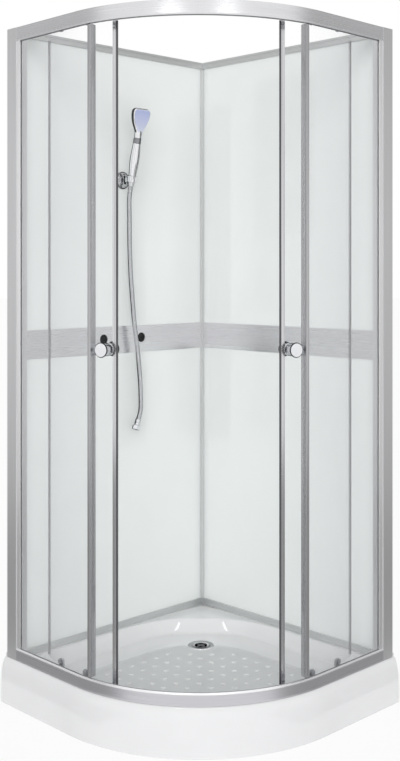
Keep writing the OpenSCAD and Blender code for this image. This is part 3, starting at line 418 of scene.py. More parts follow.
wall_white, tree, shader = new_finish("wall_panel_white", (0.9, 0.93, 0.92), 0.22)
coloured(tree, shader, ranged(tree, noise(tree, 3), 0, 1), (0.885, 0.915, 0.905), (0.91, 0.938, 0.928))
glossed(tree, shader, noise(tree, 12), 0.2, 0.25)
print("acrylic and wall panels")

# %% [markdown]
# Seals, rollers, feet and trap are moulded. Moulded plastic and rubber have one colour right through,
# so a fine speck in the colour and an uneven gloss are all that they need. The spray face carries a
# painted sheen: its colour is lighter towards its foot and follows the height.

# %% Plastics and rubber
SPECK_DEPTH = 0.00004


def moulded(name, colour, roughness, grain=600):
    """Moulded plastic or rubber: one colour with a fine speck and a slightly uneven gloss."""
    material, tree, shader = new_finish(name, colour, roughness)
    speck = noise(tree, grain)
    lighter = tuple(min(1.0, c * 1.12) for c in colour)
    coloured(tree, shader, ranged(tree, speck, 0, 1), colour, lighter)
    glossed(tree, shader, noise(tree, 50), roughness - 0.05, roughness + 0.06)
    bumped(tree, shader, speck, 0.3, SPECK_DEPTH)
    return material


soft_seal = moulded("dark_soft_seal", (0.02, 0.02, 0.022), 0.5)
strip_seal = moulded("grey_glazing_strip", (0.22, 0.22, 0.23), 0.5)
lip_grey = moulded("lip_seal_grey", (0.72, 0.72, 0.73), 0.42)
magnet_grey = moulded("magnet_strip_grey", (0.08, 0.08, 0.085), 0.42)
roller_grey = moulded("roller_grey", (0.36, 0.37, 0.39), 0.35)
wheel_white = moulded("wheel_white", (0.75, 0.75, 0.73), 0.4)
pad_rubber = moulded("foot_rubber", (0.03, 0.03, 0.032), 0.7)
# Black for the discs in the band's holes: painted shade.
hole_shade_black = moulded("painted_hole_shade", (0.008, 0.008, 0.009), 0.6)
trap_plastic = moulded("trap_plastic", (0.75, 0.75, 0.73), 0.45)
steel_paint = moulded("powder_coat", (0.12, 0.125, 0.135), 0.5, grain=900)
nozzle_plastic = moulded("nozzle_silicone", (0.4, 0.44, 0.68), 0.45)
spray_plastic, tree, shader = new_finish("spray_face_lavender", (0.55, 0.6, 0.83), 0.25)
place = tree.nodes.new("ShaderNodeTexCoord")
apart = tree.nodes.new("ShaderNodeSeparateXYZ")
tree.links.new(place.outputs["Object"], apart.inputs["Vector"])
# Painted sheen: the face's colour grows lighter towards its foot.
upward = ranged(tree, apart.outputs["Z"], 0, 1, 1.85, 1.915)
coloured(tree, shader, upward, (0.72, 0.75, 0.88), (0.5, 0.55, 0.82))
glossed(tree, shader, noise(tree, 200), 0.2, 0.3)
print("plastics and rubber")

# %% [markdown]
# ## Glass
#
# Tempered glass of 4 mm looks nearly clear face on, a little cool, and mirrors the room at a slanting
# view. A thin pane can be a mix of a tinted see-through shader and a glossy one, weighted by how far
# the pane is turned away. That lets the lamps through, so the inside stays as bright as the real one.
# A full refracting glass would cast a dark shadow unless caustics are traced, which takes far longer.

# %% Clear glass
STEEPNESS = 4.0
GRAZING_SHARE = 0.7


def thin_glass(name, tint, body, share):
    """A see-through tint and a glossy shader, whose share grows with a power of the view's slant."""
    material, tree, shader = new_finish(name, body, 0.03, Specular_IOR_Level=0.5)
    clear = tree.nodes.new("ShaderNodeBsdfTransparent")
    clear.inputs["Color"].default_value = (*tint, 1)
    slant = tree.nodes.new("ShaderNodeLayerWeight")
    slant.inputs["Blend"].default_value = 0.5
    steep = tree.nodes.new("ShaderNodeMath")
    steep.operation = "POWER"
    steep.inputs[1].default_value = STEEPNESS
    tree.links.new(slant.outputs["Facing"], steep.inputs[0])
    mix = tree.nodes.new("ShaderNodeMixShader")
    out = tree.nodes["Material Output"]
    tree.links.new(ranged(tree, steep.outputs[0], share, GRAZING_SHARE, 0.0, 1.0), mix.inputs["Fac"])
    tree.links.new(clear.outputs["BSDF"], mix.inputs[1])
    tree.links.new(shader.outputs["BSDF"], mix.inputs[2])
    tree.links.new(mix.outputs["Shader"], out.inputs["Surface"])
    return material


pane_glass = thin_glass("clear_pane", (0.999, 0.999, 1.0), (0.85, 0.86, 0.88), 0.002)
lip_clear = thin_glass("clear_lip_seal", (0.97, 0.97, 0.975), (0.85, 0.85, 0.87), 0.03)
print("glass ready")

# %% [markdown]
# ## The shower hose
#
# A shower hose is a rubber tube in a spiral of folded steel strip. It hangs from the cone nut under
# the handset down to the mixer's end. The photograph shows it from end to end, and along the route
# measured there it is as long as the printed number below says. Its points repeat the construction's
# route. A smooth curve through them is swept with rings whose radius rises and falls along a helix,
# which gives the look of the wound strip.

# %% The route of the hose
ROUTE = np.array([
    [80, 423, 1669], [71, 422, 1622], [67, 418, 1553], [66, 416, 1455], [66, 411, 1358], [66, 404, 1282],
    [66, 394, 1188], [66, 380, 1100], [66, 372, 1030], [66, 367, 977], [66, 365, 917], [66, 367, 886],
    [66, 378, 855],
])


def smooth_line(points, per_span):
    """A curve through all points: cubics whose slope at a point joins that point's neighbours."""
    points = np.asarray(points, float)
    padded = np.concatenate([points[:1], points, points[-1:]])
    a, b, c, d = padded[:-3, None], padded[1:-2, None], padded[2:-1, None], padded[3:, None]
    t = (np.arange(per_span) / per_span)[None, :, None]
    square = 2 * a - 5 * b + 4 * c - d
    cube = 3 * b - a - 3 * c + d
    curve = 0.5 * (2 * b + (c - a) * t + square * t ** 2 + cube * t ** 3)
    return np.concatenate([curve.reshape(-1, points.shape[1]), points[-1:]])


def evened(line, count):
    """The same line with its points at equal distances."""
    length = np.concatenate([[0], np.cumsum(np.linalg.norm(np.diff(line, axis=0), axis=1))])
    place = np.linspace(0, length[-1], count)
    return np.stack([np.interp(place, length, line[:, k]) for k in range(line.shape[1])], 1), length[-1]


hose_route = np.stack([ROUTE[:, 0] - 450, 450 - ROUTE[:, 1], ROUTE[:, 2]], 1) * MM
hose_line, hose_length = evened(smooth_line(hose_route, 40), 1500)
print("hose length", round(hose_length, 4), "m")

# %% [markdown]
# The strip is wound round the hose at a pitch of about 4 mm. Modelled as a real folded strip it would
# take a million faces. Here the tube's rings are close together, and the radius dips in a narrow
# groove where the helix passes, which catches the light in the same way.

# %% The spiral wound hose
HOSE_RADIUS = 0.0079
PITCH = 0.0042
GROOVE_DEPTH = 0.0009
GROOVE_WIDTH = 0.16


def tube_frames(line):
    """Two directions across a line at each point, both worked out from one fixed side."""
    along = np.gradient(line, axis=0)
    along /= np.linalg.norm(along, axis=1)[:, None]
    side = np.cross(along, [0.0, 1.0, 0.0])
    side /= np.linalg.norm(side, axis=1)[:, None]
    return side, np.cross(side, along)


def wound_tube(line, length, sides=20):
    """Rings along a line, whose radius dips by a bell curve of the distance to the helix."""
    side, up = tube_frames(line)
    turn = np.linspace(0, 2 * np.pi, sides, endpoint=False)
    travel = np.linspace(0, length, len(line))
    phase = (travel[:, None] / PITCH - turn[None, :] / (2 * np.pi)) % 1.0
    ridge = HOSE_RADIUS - GROOVE_DEPTH * np.exp(-((phase - 0.5) / GROOVE_WIDTH) ** 2)
    ring = np.cos(turn)[None, :, None] * side[:, None] + np.sin(turn)[None, :, None] * up[:, None]
    points = (line[:, None] + ridge[:, :, None] * ring).reshape(-1, 3)
    ends = loops_at_ends(sides, (len(line) - 1) * sides)
    return points, grid_faces(len(line), sides, ring=True).tolist() + ends


hose = make_piece("hose", wound_tube(hose_line, hose_length), hose_steel, body=None,
                  replaced=("hose",), sharp=60)
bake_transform(hose)
print("hose faces", len(hose.data.polygons))

# %% [markdown]
# The free end carries the nut that screws onto the mixer: a short collar pressed over the hose and a
# hexagon with its corners chamfered. Both are turned about the same axis, and the hexagon is a turned
# shape with six sides.

# %% The nut on the hose's end
NUT_AXIS = np.array([0.0, -math.sin(math.radians(19)), -math.cos(math.radians(19))])
nut_start = hose_route[-1]
collar_profile = [
    [0, -2], [8.2, -2], [9, -1], [9, 8], [8.4, 9], [9, 10], [9, 17], [8.6, 18.5], [7, 18.7]]
hexagon_profile = [
    [9.3, 23], [9.3, 34], [11.6, 34], [13.2, 33], [13.86, 32], [13.86, 20], [13.2, 19], [11.6, 18.4],
    [7, 18.4], [7, 23], [9.3, 23]]
collar = turned(collar_profile, nut_start, NUT_AXIS)
hexagon = turned(hexagon_profile, nut_start, NUT_AXIS, steps=6)
hose_nut = make_piece("hose_nut", joined(collar, hexagon), chrome,
                      replaced=("hose_nut",), sharp=25)
print("nut on the hose's free end")

# %% [markdown]
# ## The tray's front: apron and rim
#
# The apron leans in from the floor to the rim in a quarter ellipse, then the rim lies flat under the
# bottom rail and drops a little to the ledge. It is one profile of acrylic sheet carried along the
# whole front, so the curve is as smooth as the stations are close. The numbers are millimetres out
# from the middle of the front's curve, and millimetres above the floor.

# %% Apron and rim
def apron_arc(thickness, steps=18):
    """The quarter ellipse of the apron's face, moved in by the sheet's thickness."""
    angle = np.linspace(0, np.pi / 2, steps)
    return np.stack([540 - thickness - 20 * (1 - np.cos(angle)), 40 + (100 - thickness) * np.sin(angle)], 1)


apron_outline = np.concatenate([
    [[540, 0], [540, 12], [540, 26]],
    apron_arc(0)[:-1],
    [[519.6, 140], [515, 140], [490, 140], [471.5, 140], [469.4, 139.3], [468.3, 137.8],
     [467.6, 135.8], [466.4, 134.4], [464, 133.6], [463.4, 129], [488, 129]],
    apron_arc(5)[::-1][1:],
    [[535, 26], [535, 12], [535, 0]],
])
apron = make_piece("tray_apron", sweep(apron_outline, front_path(0, 90, 0.36, 0.36, step=1.25)), acrylic,
                   replaced=("tray",), sharp=40)
print("apron faces", len(apron.data.polygons))

# %% [markdown]
# ## The tray's inside: ledge, basin and studs
#
# The basin's outline is what three cuts leave of the quadrant: the two wall ledges and a wide arc
# across the room corner, all joined with round corners. A signed distance says how far a point is
# inside that outline. Rays go out from the middle, each is cut where the distance has chosen
# values, and those points make rings that follow the outline exactly. A plain square grid would leave
# steps along the curve.

# %% Distance to the basin's outline
FLOOR_HEIGHT = 90.0
LEDGE_HEIGHT = 134.0
LEDGE_LINE = 404
UPSTAND_LINE = 444
BASIN_ROUND = 70.0
BASIN_FRONT = 465.0
DECK_FRONT = 467.0
TEXTURE_FRONT = 423
TEXTURE_ROUND = 255
WASTE_MARGIN = 46
WASTE = (-182, 182)
FRONT_CENTRE = 90


def joined_round(a, b, radius):
    """Overlap of two distances with a round corner of the given radius."""
    reach = np.hypot(np.maximum(radius + a, 0), np.maximum(radius + b, 0))
    return np.minimum(-radius, np.maximum(a, b)) + reach


def quadrant_distance(x, y, radius):
    """Distance to the front: round in the quarter, straight on both sides of it."""
    return np.hypot(np.maximum(x + FRONT_CENTRE, 0), np.maximum(FRONT_CENTRE - y, 0)) - radius


def basin_distance(x, y):
    """Negative inside the basin, zero on its upper edge, in millimetres."""
    arc_centre, arc_radius = 256.4, 780
    walls = joined_round(-LEDGE_LINE - x, y - LEDGE_LINE, BASIN_ROUND)
    arc = np.hypot(x - arc_centre, y + arc_centre) - arc_radius
    back = joined_round(walls, arc, BASIN_ROUND)
    return joined_round(back, quadrant_distance(x, y, BASIN_FRONT), BASIN_ROUND)


def deck_distance(x, y):
    """Distance to the edge of the deck, which runs under the rim and to the upstands."""
    return np.maximum(np.maximum(-UPSTAND_LINE - x, y - UPSTAND_LINE), quadrant_distance(x, y, DECK_FRONT))


def texture_corner(x, y):
    """Distance from the centre of the texture's round corner, counted only towards the two walls."""
    return np.hypot(np.minimum(x + 5, 0), np.maximum(y - 5, 0))


def anti_slip_and_shade(x, y):
    """1 on the textured part of the floor and 0 elsewhere, with a border of 14 millimetres."""
    border = np.maximum(quadrant_distance(x, y, TEXTURE_FRONT - 12), texture_corner(x, y) - TEXTURE_ROUND)
    border = np.maximum(border, WASTE_MARGIN - np.hypot(x - WASTE[0], y - WASTE[1]))
    return np.clip(0.5 - border / 14, 0, 1)


print("middle of the floor is", round(-float(basin_distance(0.0, 0.0))), "mm inside the basin's edge")

# %% [markdown]
# A ray meets each level at a distance that no short formula gives. Halving an interval 34 times finds
# it for all rays and all levels at once. Three rays are added that point exactly at the deck's corners.

# %% Where the rays meet the outline
def cut_rays(distance, angle, level):
    """How far along each ray from the middle the distance reaches the level, by halving an interval."""
    near = np.zeros((len(angle), len(level)))
    far = np.full_like(near, 760.0)
    for _ in range(34):
        middle = (near + far) / 2
        x = middle * np.cos(angle)[:, None]
        y = middle * np.sin(angle)[:, None]
        inside = distance(x, y) < level[None, :]
        near = np.where(inside, middle, near)
        far = np.where(inside, far, middle)
    return near


front_end = DECK_FRONT - FRONT_CENTRE
corner_angle = np.arctan2([UPSTAND_LINE, -front_end, UPSTAND_LINE], [-UPSTAND_LINE, -UPSTAND_LINE, front_end])
ray = np.sort(np.concatenate([np.linspace(-np.pi, np.pi, 460, endpoint=False), corner_angle]))
slope_level = np.linspace(-44, 0, 17)
basin_rings = cut_rays(basin_distance, ray, slope_level)
deck_edge = cut_rays(deck_distance, ray, np.array([0.0]))[:, 0]
print("rays", len(ray), "basin reach", basin_rings.min().round(1), basin_rings.max().round(1), "mm")

# %% [markdown]
# From the ledge the basin falls in a smooth slope to its floor. The height is a function of the
# distance alone, so every ring has one height. The sheet's thickness comes from a Solidify modifier,
# and a point attribute tells the finish where the floor is textured and painted greyer as shade.

# %% The basin and the ledge
def eased_slope(t, ease=0.28):
    """Rises from 0 to 1: a straight slope whose both ends are eased by a parabola."""
    t = np.clip(t, 0, 1)
    low = t ** 2 / (2 * ease * (1 - ease))
    high = 1 - (1 - t) ** 2 / (2 * ease * (1 - ease))
    return np.where(t < ease, low, np.where(t > 1 - ease, high, (t - ease / 2) / (1 - ease)))


slope_height = FLOOR_HEIGHT + (LEDGE_HEIGHT - FLOOR_HEIGHT) * eased_slope((slope_level + 43.5) / 42.5)
inner_share = np.linspace(0, 1, 40)[:-1]
floor_reach = basin_rings[:, :1] * inner_share[None, :]
ledge_share = np.array([0.25, 0.6, 1.0])
brink = basin_rings[:, -1:]
ledge_reach = brink + np.maximum(deck_edge[:, None] - brink, 1.5) * ledge_share
reach = np.concatenate([floor_reach, basin_rings, ledge_reach], 1)
height = np.concatenate([
    np.full(len(inner_share), FLOOR_HEIGHT), slope_height, np.full(len(ledge_share), LEDGE_HEIGHT)])
basin_points = np.stack([
    reach * np.cos(ray)[:, None], reach * np.sin(ray)[:, None],
    np.broadcast_to(height, reach.shape)], -1).transpose(1, 0, 2).reshape(-1, 3) * MM
basin = make_piece("tray_basin", (basin_points, grid_faces(reach.shape[1], len(ray), ring=True)),
                   basin_acrylic, replaced=("tray",), sharp=60)
corners = np.empty(len(basin.data.vertices) * 3)
basin.data.vertices.foreach_get("co", corners)
corners = corners.reshape(-1, 3) / MM
# The mask marks the textured floor, which the finish makes rougher and paints greyer as shade.
textured = anti_slip_and_shade(corners[:, 0], corners[:, 1]) * (corners[:, 2] < FLOOR_HEIGHT + 1)
basin.data.attributes.new("anti_slip_and_shade", "FLOAT", "POINT").data.foreach_set("value", textured)
if sum(polygon.normal.z for polygon in list(basin.data.polygons)[:50]) < 0:
    basin.data.flip_normals()
wall_thickness = basin.modifiers.new("sheet", "SOLIDIFY")
wall_thickness.thickness = 0.0045
wall_thickness.offset = -1
print("basin faces", len(basin.data.polygons))

# %% [markdown]
# The studs that keep feet from slipping stand on a square grid. One dome is a small turned shape, and
# adding every stud's place to it in one sum gives them all.

# %% The anti-slip studs
STUD_PITCH = 52.0
FIRST_STUD = 198.5


def stud_places():
    """Grid points on the textured floor that are clear of its edge, the slope and the drain."""
    step = np.arange(0, 13) * STUD_PITCH
    x, y = np.meshgrid(-FIRST_STUD + step, FIRST_STUD - step)
    fits = quadrant_distance(x, y, TEXTURE_FRONT - 15) < 0
    fits &= np.hypot(x - WASTE[0], y - WASTE[1]) > 59
    fits &= texture_corner(x, y) < 212
    return np.stack([x[fits], y[fits], np.zeros(fits.sum())], 1)


spots = stud_places()
dome_profile = [[9.2, -0.6], [8.8, 0.3], [8.1, 1.1], [7.1, 1.7], [5.5, 2.1], [2.8, 2.3], [0, 2.35]]
dome = turned(dome_profile, (0, 0, FLOOR_HEIGHT * MM), (0, 0, 1), 20)
make_piece("tray_studs", repeated(dome, spots * MM), acrylic, replaced=("tray",), sharp=60)
print("studs", len(spots))

# %% [markdown]
# Behind the wall frame the deck turns up in a low upstand, and a skirt hangs below it. Both are bars
# of sheet along each wall, with eased edges.

# %% Upstands and skirts
upstand_outline = box_outline(-450, -443, 129, 152, 1.2)
skirt_outline = box_outline(-450, -445, 74, 131, 1.2)
upstand = straight(upstand_outline, (0, -430, 0), (0, 1, 0), (1, 0, 0), (0, 0, 1), 880)
skirt = straight(skirt_outline, (0, -315, 0), (0, 1, 0), (1, 0, 0), (0, 0, 1), 765)
wall_edges = joined(upstand, skirt, mirrored(upstand), mirrored(skirt))
make_piece("tray_wall_edges", wall_edges, acrylic, replaced=("tray",))
print("upstands and skirts, faces", len(wall_edges[1]))

# %% [markdown]
# ## The rails
#
# Each rail is one aluminium extrusion bent to the front's plan. Its outside is a smooth band with a
# small lip at the lower edge; inside are a slot for the fixed panes and a track with a lip that
# keeps the wheels in.

# %% Top and bottom rail
top_outline = eased([
    [520, 2106], [520, 2110.4], [519.3, 2111.2], [519.3, 2147], [518.6, 2150], [481, 2150], [481, 2148],
    [517.5, 2148], [517.5, 2127.5], [508.5, 2127.5], [508.5, 2116], [492.7, 2116], [492.7, 2119],
    [491.5, 2119], [491.5, 2114], [508.5, 2114], [508.5, 2106], [510, 2106], [510, 2126], [518, 2126],
    [518, 2106],
], 0.5, steps=2)
bevel_outline = eased([
    [516.2, 179], [520, 174.6], [520, 172.6], [519.3, 172.2], [518.3, 174], [515.8, 176.9],
], 0.3, steps=2)
low_outline = eased([
    [520, 140], [520, 142.5], [519.4, 143.2], [519.4, 172], [518.6, 173.6], [516.6, 175.8],
    [515.9, 175.6], [518, 173], [518, 158], [510, 158], [510, 178], [508.5, 178], [508.5, 150],
    [492.7, 150], [492.7, 153], [491.5, 153], [491.5, 140],
], 0.4, steps=2)
rail_path = front_path(0, 90, 0.305, 0.305, step=0.9)


def rail(name, outline, material, node):
    """One outline carried round the whole front, with its two straight ends."""
    return make_piece(name, sweep(outline, rail_path), material, replaced=(node,))


top_rail = rail("top_rail", top_outline, rail_metal, "top_rail")
low_rail = rail("bottom_rail", low_outline, shaded_low_rail_metal, "bottom_rail")
# A thin strip on the bottom rail's upper edge carries a painted highlight.
rail("bottom_rail_bevel_highlight", bevel_outline, bevel_highlight_metal, "bottom_rail")
print("rail faces", len(top_rail.data.polygons), len(low_rail.data.polygons))

# %% [markdown]
# ## Fixed panes, their profiles and gaskets
#
# A fixed pane stands in the slots of both rails, from the glazing channel at the post round the first
# degrees of the curve. Its free edge is held by an upright profile with a fin, against which the
# door's trailing seal closes. Soft gaskets fill the slots beside the glass.

# %% Left and right side together
def both_sides(name, shape, material):
    """Makes the piece on the left and its mirror image on the right, in the places of the same nodes."""
    make_piece("left_" + name, shape, material, replaced=("left_" + name,))
    make_piece("right_" + name, mirrored(shape), material, replaced=("right_" + name,))


pane_path = front_path(0, 6.9, 0.293, step=0.6)
fixed_pane = sweep(box_outline(511.5, 515.5, 158.5, 2124, 0.4), pane_path)
both_sides("fixed_glass", fixed_pane, pane_glass)
edge_cap = sweep(box_outline(511.4, 517, 181, 2104, 0.8), front_path(5.8, 7.3, step=0.3))
edge_body = sweep(box_outline(498, 511.6, 181, 2104, 0.6), front_path(6.3, 7.25, step=0.3))
edge_fin = sweep(box_outline(493, 498.4, 181, 2104, 0.6), front_path(6.45, 6.95, step=0.25))
both_sides("edge_profile", joined(edge_cap, edge_body, edge_fin), edge_metal)
print("fixed panes and their edge profiles")

# %% [markdown]
# At the post the pane stands in a bright channel, a straight extrusion from rail to rail. The gaskets
# are cut from strips: narrow ones beside the fixed panes, wider ones where the rails' slots are open
# in the doorway.

# %% Glazing channels and gaskets
channel_outline = eased([
    [-395, -428.5], [-375, -428.5], [-375, -425.7], [-385.5, -425.7], [-386.5, -424.6],
    [-386.5, -422.4], [-385.5, -421.3], [-375, -421.3], [-375, -418.5], [-395, -418.5],
], 0.5, steps=2)
channel = straight(channel_outline, (0, 0, 180), (0, 0, 1), (1, 0, 0), (0, 1, 0), 1926)
both_sides("glazing_channel", channel, channel_metal)
gasket_path = front_path(0, 5.8, 0.285, step=0.8)
gasket_boxes = (
    (510.05, 511.5, 168, 178.6), (515.5, 517.9, 166, 172),
    (510.05, 511.5, 2104.5, 2116), (515.5, 517.9, 2104.5, 2116))
gaskets = [sweep(box_outline(*box, 0.3), gasket_path) for box in gasket_boxes]
gaskets += [mirrored(shape) for shape in gaskets]
doorway = front_path(7.4, 82.6, step=1.0)
door_strip = [[510.05, 170], [515.9, 170], [515.9, 177.2], [514.6, 178.5], [511, 178.5], [510.05, 177.5]]
gaskets.append(sweep(eased(door_strip, 0.6), doorway))
gaskets.append(sweep(box_outline(510.05, 517.95, 2104.5, 2114, 0.5), doorway))
make_piece("glazing_gaskets", joined(*gaskets), strip_seal, replaced=("glazing_gaskets",))
print("gasket strips", len(gaskets))

# %% [markdown]
# ## The sliding doors
#
# Both doors stand open. Each is built closed, on the curve, and then turned about its pivot like the
# CAD door. The pane's leading edge wears a profile with a magnet strip, its trailing edge a soft lip
# seal.

# %% Placing a closed door where it stands open
PIVOT = np.array([-0.119, 0.2])
OPEN_TURN = {"left": -24.3, "right": -24.6}


def opened(shape, side):
    """Turns a shape of the closed left door to its open place, on the left or mirrored to the right."""
    points, faces = shape
    turn = math.radians(OPEN_TURN[side])
    flat = np.asarray(points)[:, :2] - PIVOT
    turned_flat = np.stack([
        flat[:, 0] * math.cos(turn) - flat[:, 1] * math.sin(turn),
        flat[:, 0] * math.sin(turn) + flat[:, 1] * math.cos(turn)], 1) + PIVOT
    placed = (np.concatenate([turned_flat, np.asarray(points)[:, 2:]], 1), faces)
    return placed if side == "left" else mirrored(placed)


def door_piece(name, shape, material, node, sharp=32):
    """The same piece on both doors, each riding on its own door."""
    for side in ("left", "right"):
        make_piece(side + "_" + name, opened(shape, side), material, body=side + "_door",
                   replaced=(side + "_" + node,), sharp=sharp)


door_pane = sweep(box_outline(483.2, 487.2, 164, 2139.8, 0.4), front_path(4.5, 44.05, step=0.6))
door_piece("door_glass", door_pane, pane_glass, "door_glass")
lead = sweep(box_outline(480, 491, 162, 2113, 1.4), front_path(43.14, 44.54, step=0.2))
door_piece("lead_profile", lead, lead_metal, "lead_profile")
print("door panes and leading profiles")

# %% [markdown]
# The magnet strip is dark and fills the leading profile. The trailing seal is clear on both faces of
# the pane, and its lip shows as a thin pale grey line. They are three pieces, because a piece with one
# finish is simplest to read and to repair.

# %% Seals of the doors
magnet = sweep(box_outline(484.6, 488.4, 162, 2113, 0.8), front_path(44.53, 44.96, step=0.1))
trail_outer = sweep(box_outline(487.25, 488.7, 168, 2102, 0.4), front_path(4.2, 5.4, step=0.3))
trail_inner = sweep(box_outline(481.7, 483.15, 168, 2102, 0.4), front_path(4.2, 5.4, step=0.3))
trail_end = sweep(box_outline(482.7, 487.7, 168, 2102, 0.5), front_path(4.2, 4.48, step=0.1))
door_piece("magnet_strip", magnet, magnet_grey, "door_seals")
door_piece("lip_seal", joined(trail_outer, trail_inner), lip_clear, "door_seals")
door_piece("lip_seal_end", trail_end, lip_grey, "door_seals")
print("magnet strips and lip seals")

# %% [markdown]
# ## The knobs
#
# A knob is turned from brass and chromed: a round body on the glass, a fine groove, then a wider
# disc. A dark ring round the disc's soft edge is a painted reflection of the dark room that the chrome
# mirrors there. The same profile stands inside the door, on the screw that goes through the glass. A
# turned profile needs only its half section, written as (radius, height).

# %% Turned knobs
def outward_axis(angle):
    """The direction out of the curve at an angle in degrees."""
    return np.array([math.sin(math.radians(angle)), -math.cos(math.radians(angle)), 0.0])


def on_front(angle, radius, z):
    """A point on the front at an angle, a radius and a height, in metres."""
    axis = outward_axis(angle)
    return np.array([CENTRE[0] + axis[0] * radius * MM, CENTRE[1] + axis[1] * radius * MM, z * MM])


KNOB_ANGLE = 40.4
KNOB_HEIGHT = 1145
PANE_OUTSIDE = 487.2
KNOB_INSIDE = 483.0


def on_both_faces(profile):
    """The profile turned twice: outwards from the pane's outer face and inwards from its inner face."""
    out = outward_axis(KNOB_ANGLE)
    outer = turned(profile, on_front(KNOB_ANGLE, PANE_OUTSIDE, KNOB_HEIGHT), out)
    inner = turned(profile, on_front(KNOB_ANGLE, KNOB_INSIDE, KNOB_HEIGHT), -out)
    return outer, inner


knob_profile = [
    [0, 0], [17.5, 0], [17.8, 1.2], [18.6, 1.8], [19.5, 2.6], [19.5, 22.5], [19.1, 24.2], [18.2, 24.8],
    [18.2, 27], [20.6, 27], [20.6, 30.6], [20.2, 31.0], [19.6, 30.7], [18.9, 30.75], [14, 31.3],
    [7, 31.7], [0, 31.8]]
rim_profile = [
    [18.3, 26.4], [19.4, 26.8], [21.4, 26.9], [22.2, 27.4], [22.5, 28.3], [22.45, 29.6], [22.0, 30.5],
    [21.2, 31.0], [20.4, 31.05], [20.4, 27.5], [18.3, 26.4]]
screw_profile = [[0, 0], [4, 0], [4, 5], [0, 5]]
knob_screw = turned(screw_profile, on_front(KNOB_ANGLE, 482.7, KNOB_HEIGHT), outward_axis(KNOB_ANGLE), 24)
door_piece("door_knobs", joined(*on_both_faces(knob_profile), knob_screw), chrome,
           "door_knobs", sharp=40)
# Dark rings round the knobs' discs: a painted reflection of the dark room that the chrome mirrors.
door_piece("knob_rim_reflections", joined(*on_both_faces(rim_profile)), dark_chrome_and_painted_reflection,
           "door_knobs", sharp=40)
print("knobs and their dark rims")

# %% [markdown]
# ## Rollers
#
# Each door runs on four small wheels. At the top a round boss behind the glass carries the axle
# through it; at the bottom a holder reaches down into the rail and can be pressed to unhook the door.
# The wheels are turned from white plastic with a shallow groove.

# %% Wheels
LEAD = (30.5, 502.3)
TRAIL = (15.3, 500.9)
TOP_AXLE = 2124.8
LOW_AXLE = 158.8
wheel_profile = [
    [3.05, -2], [5.2, -2], [5.6, -1.5], [7.4, -1.5], [7.9, -2], [8.2, -1.8], [8.5, -1.3], [8.5, 1.3],
    [8.2, 1.8], [7.9, 2], [7.4, 1.5], [5.6, 1.5], [5.2, 2], [3.05, 2], [3.05, -2]]
for place, height in (("top", TOP_AXLE), ("low", LOW_AXLE)):
    for end, (angle, radius) in (("lead", LEAD), ("trail", TRAIL)):
        wheel = turned(wheel_profile, on_front(angle, radius, height), outward_axis(angle), 40)
        for side in ("left", "right"):
            name = f"{side}_{place}_{end}_wheel"
            make_piece(name, opened(wheel, side), wheel_white, body=name,
                       replaced=(name,), sharp=30)
print("eight wheels")

# %% [markdown]
# The holders of one door are one moulded and turned set, so they are one piece: at each end a boss and
# an axle at the top, and a plate with a rounded head, a bolt and an axle at the bottom.

# %% Roller holders
PLATE_BACK = 476.55
PLATE_HEIGHT = 173.5


def holder_plate(angle, thickness, points, ease):
    """A flat outline (sideways, up) with eased corners, standing across the curve at an angle."""
    axis = outward_axis(angle)
    sideways = np.array([-axis[1], axis[0], 0.0])
    origin = on_front(angle, PLATE_BACK, 0) / MM
    return straight(eased(points, ease, steps=5), origin, axis, sideways, (0, 0, 1), thickness)


def holder_shapes(end):
    """Bosses, plates, bolts and axles of one door's end, from the top wheel to the lower one."""
    angle, radius = LEAD if end == "lead" else TRAIL
    axis = outward_axis(angle)
    gap = radius - 2 - PANE_OUTSIDE
    low_start = 493.8
    boss = [[0, 0], [8.5, 0], [10.2, 0.5], [11, 1.6], [11, 6.5], [0, 6.5]]
    top_axle = [
        [0, 0], [5, 0], [5, gap - 4], [4.5, gap - 3.6], [4.5, gap - 0.1], [3, gap - 0.1], [3, gap + 4.3],
        [4.5, gap + 4.3], [4.5, gap + 5], [4, gap + 5.2], [0, gap + 5.2]]
    bolt = [[0, 0], [7.2, 0], [8, 0.7], [8, 1.4], [7.2, 2], [3.2, 2], [2.8, 1.2], [0, 1.2]]
    low_axle = [
        [0, 0], [4.5, 0], [4.5, radius - 2.1 - low_start], [3, radius - 2.1 - low_start],
        [3, radius + 2.1 - low_start], [4.5, radius + 2.1 - low_start], [4.5, radius + 3 - low_start],
        [0, radius + 3.1 - low_start]]
    return [
        turned(boss, on_front(angle, PLATE_BACK, TOP_AXLE), axis),
        turned(top_axle, on_front(angle, PANE_OUTSIDE, TOP_AXLE), axis, 32),
        holder_plate(angle, 6.5, [[-11, 155], [11, 155], [11, 181], [-11, 181]], [1, 1, 7, 7]),
        holder_plate(angle, 17.3, [[-11, 154.9], [11, 154.9], [11, 162.6], [-11, 162.6]], [2, 2, 2, 2]),
        turned(bolt, on_front(angle, 487.25, PLATE_HEIGHT), axis, 32),
        turned(low_axle, on_front(angle, low_start, LOW_AXLE), axis, 32),
    ]


holders = joined(*holder_shapes("lead"), *holder_shapes("trail"))
door_piece("roller_holders", holders, roller_grey, "roller_holders", sharp=35)
print("roller holders, faces", len(holders[1]))

# %% [markdown]
# ## The hand shower
#
# The handset is one chromed shell: a round foot that sits in the cradle, a full grip, a slim neck
# and a flat head that opens like a fan. A loft of closed sections gives it: each section is a
# superellipse, whose exponent turns a circle into a rounded rectangle on the way up.

# %% The handset
LEAN = math.radians(12.3)
HANDSET = np.array([-370.0, 27.0, 1669.0])
SHOWER_UP = np.array([math.sin(LEAN), 0.0, math.cos(LEAN)])
SHOWER_OUT = np.array([math.cos(LEAN), 0.0, -math.sin(LEAN)])


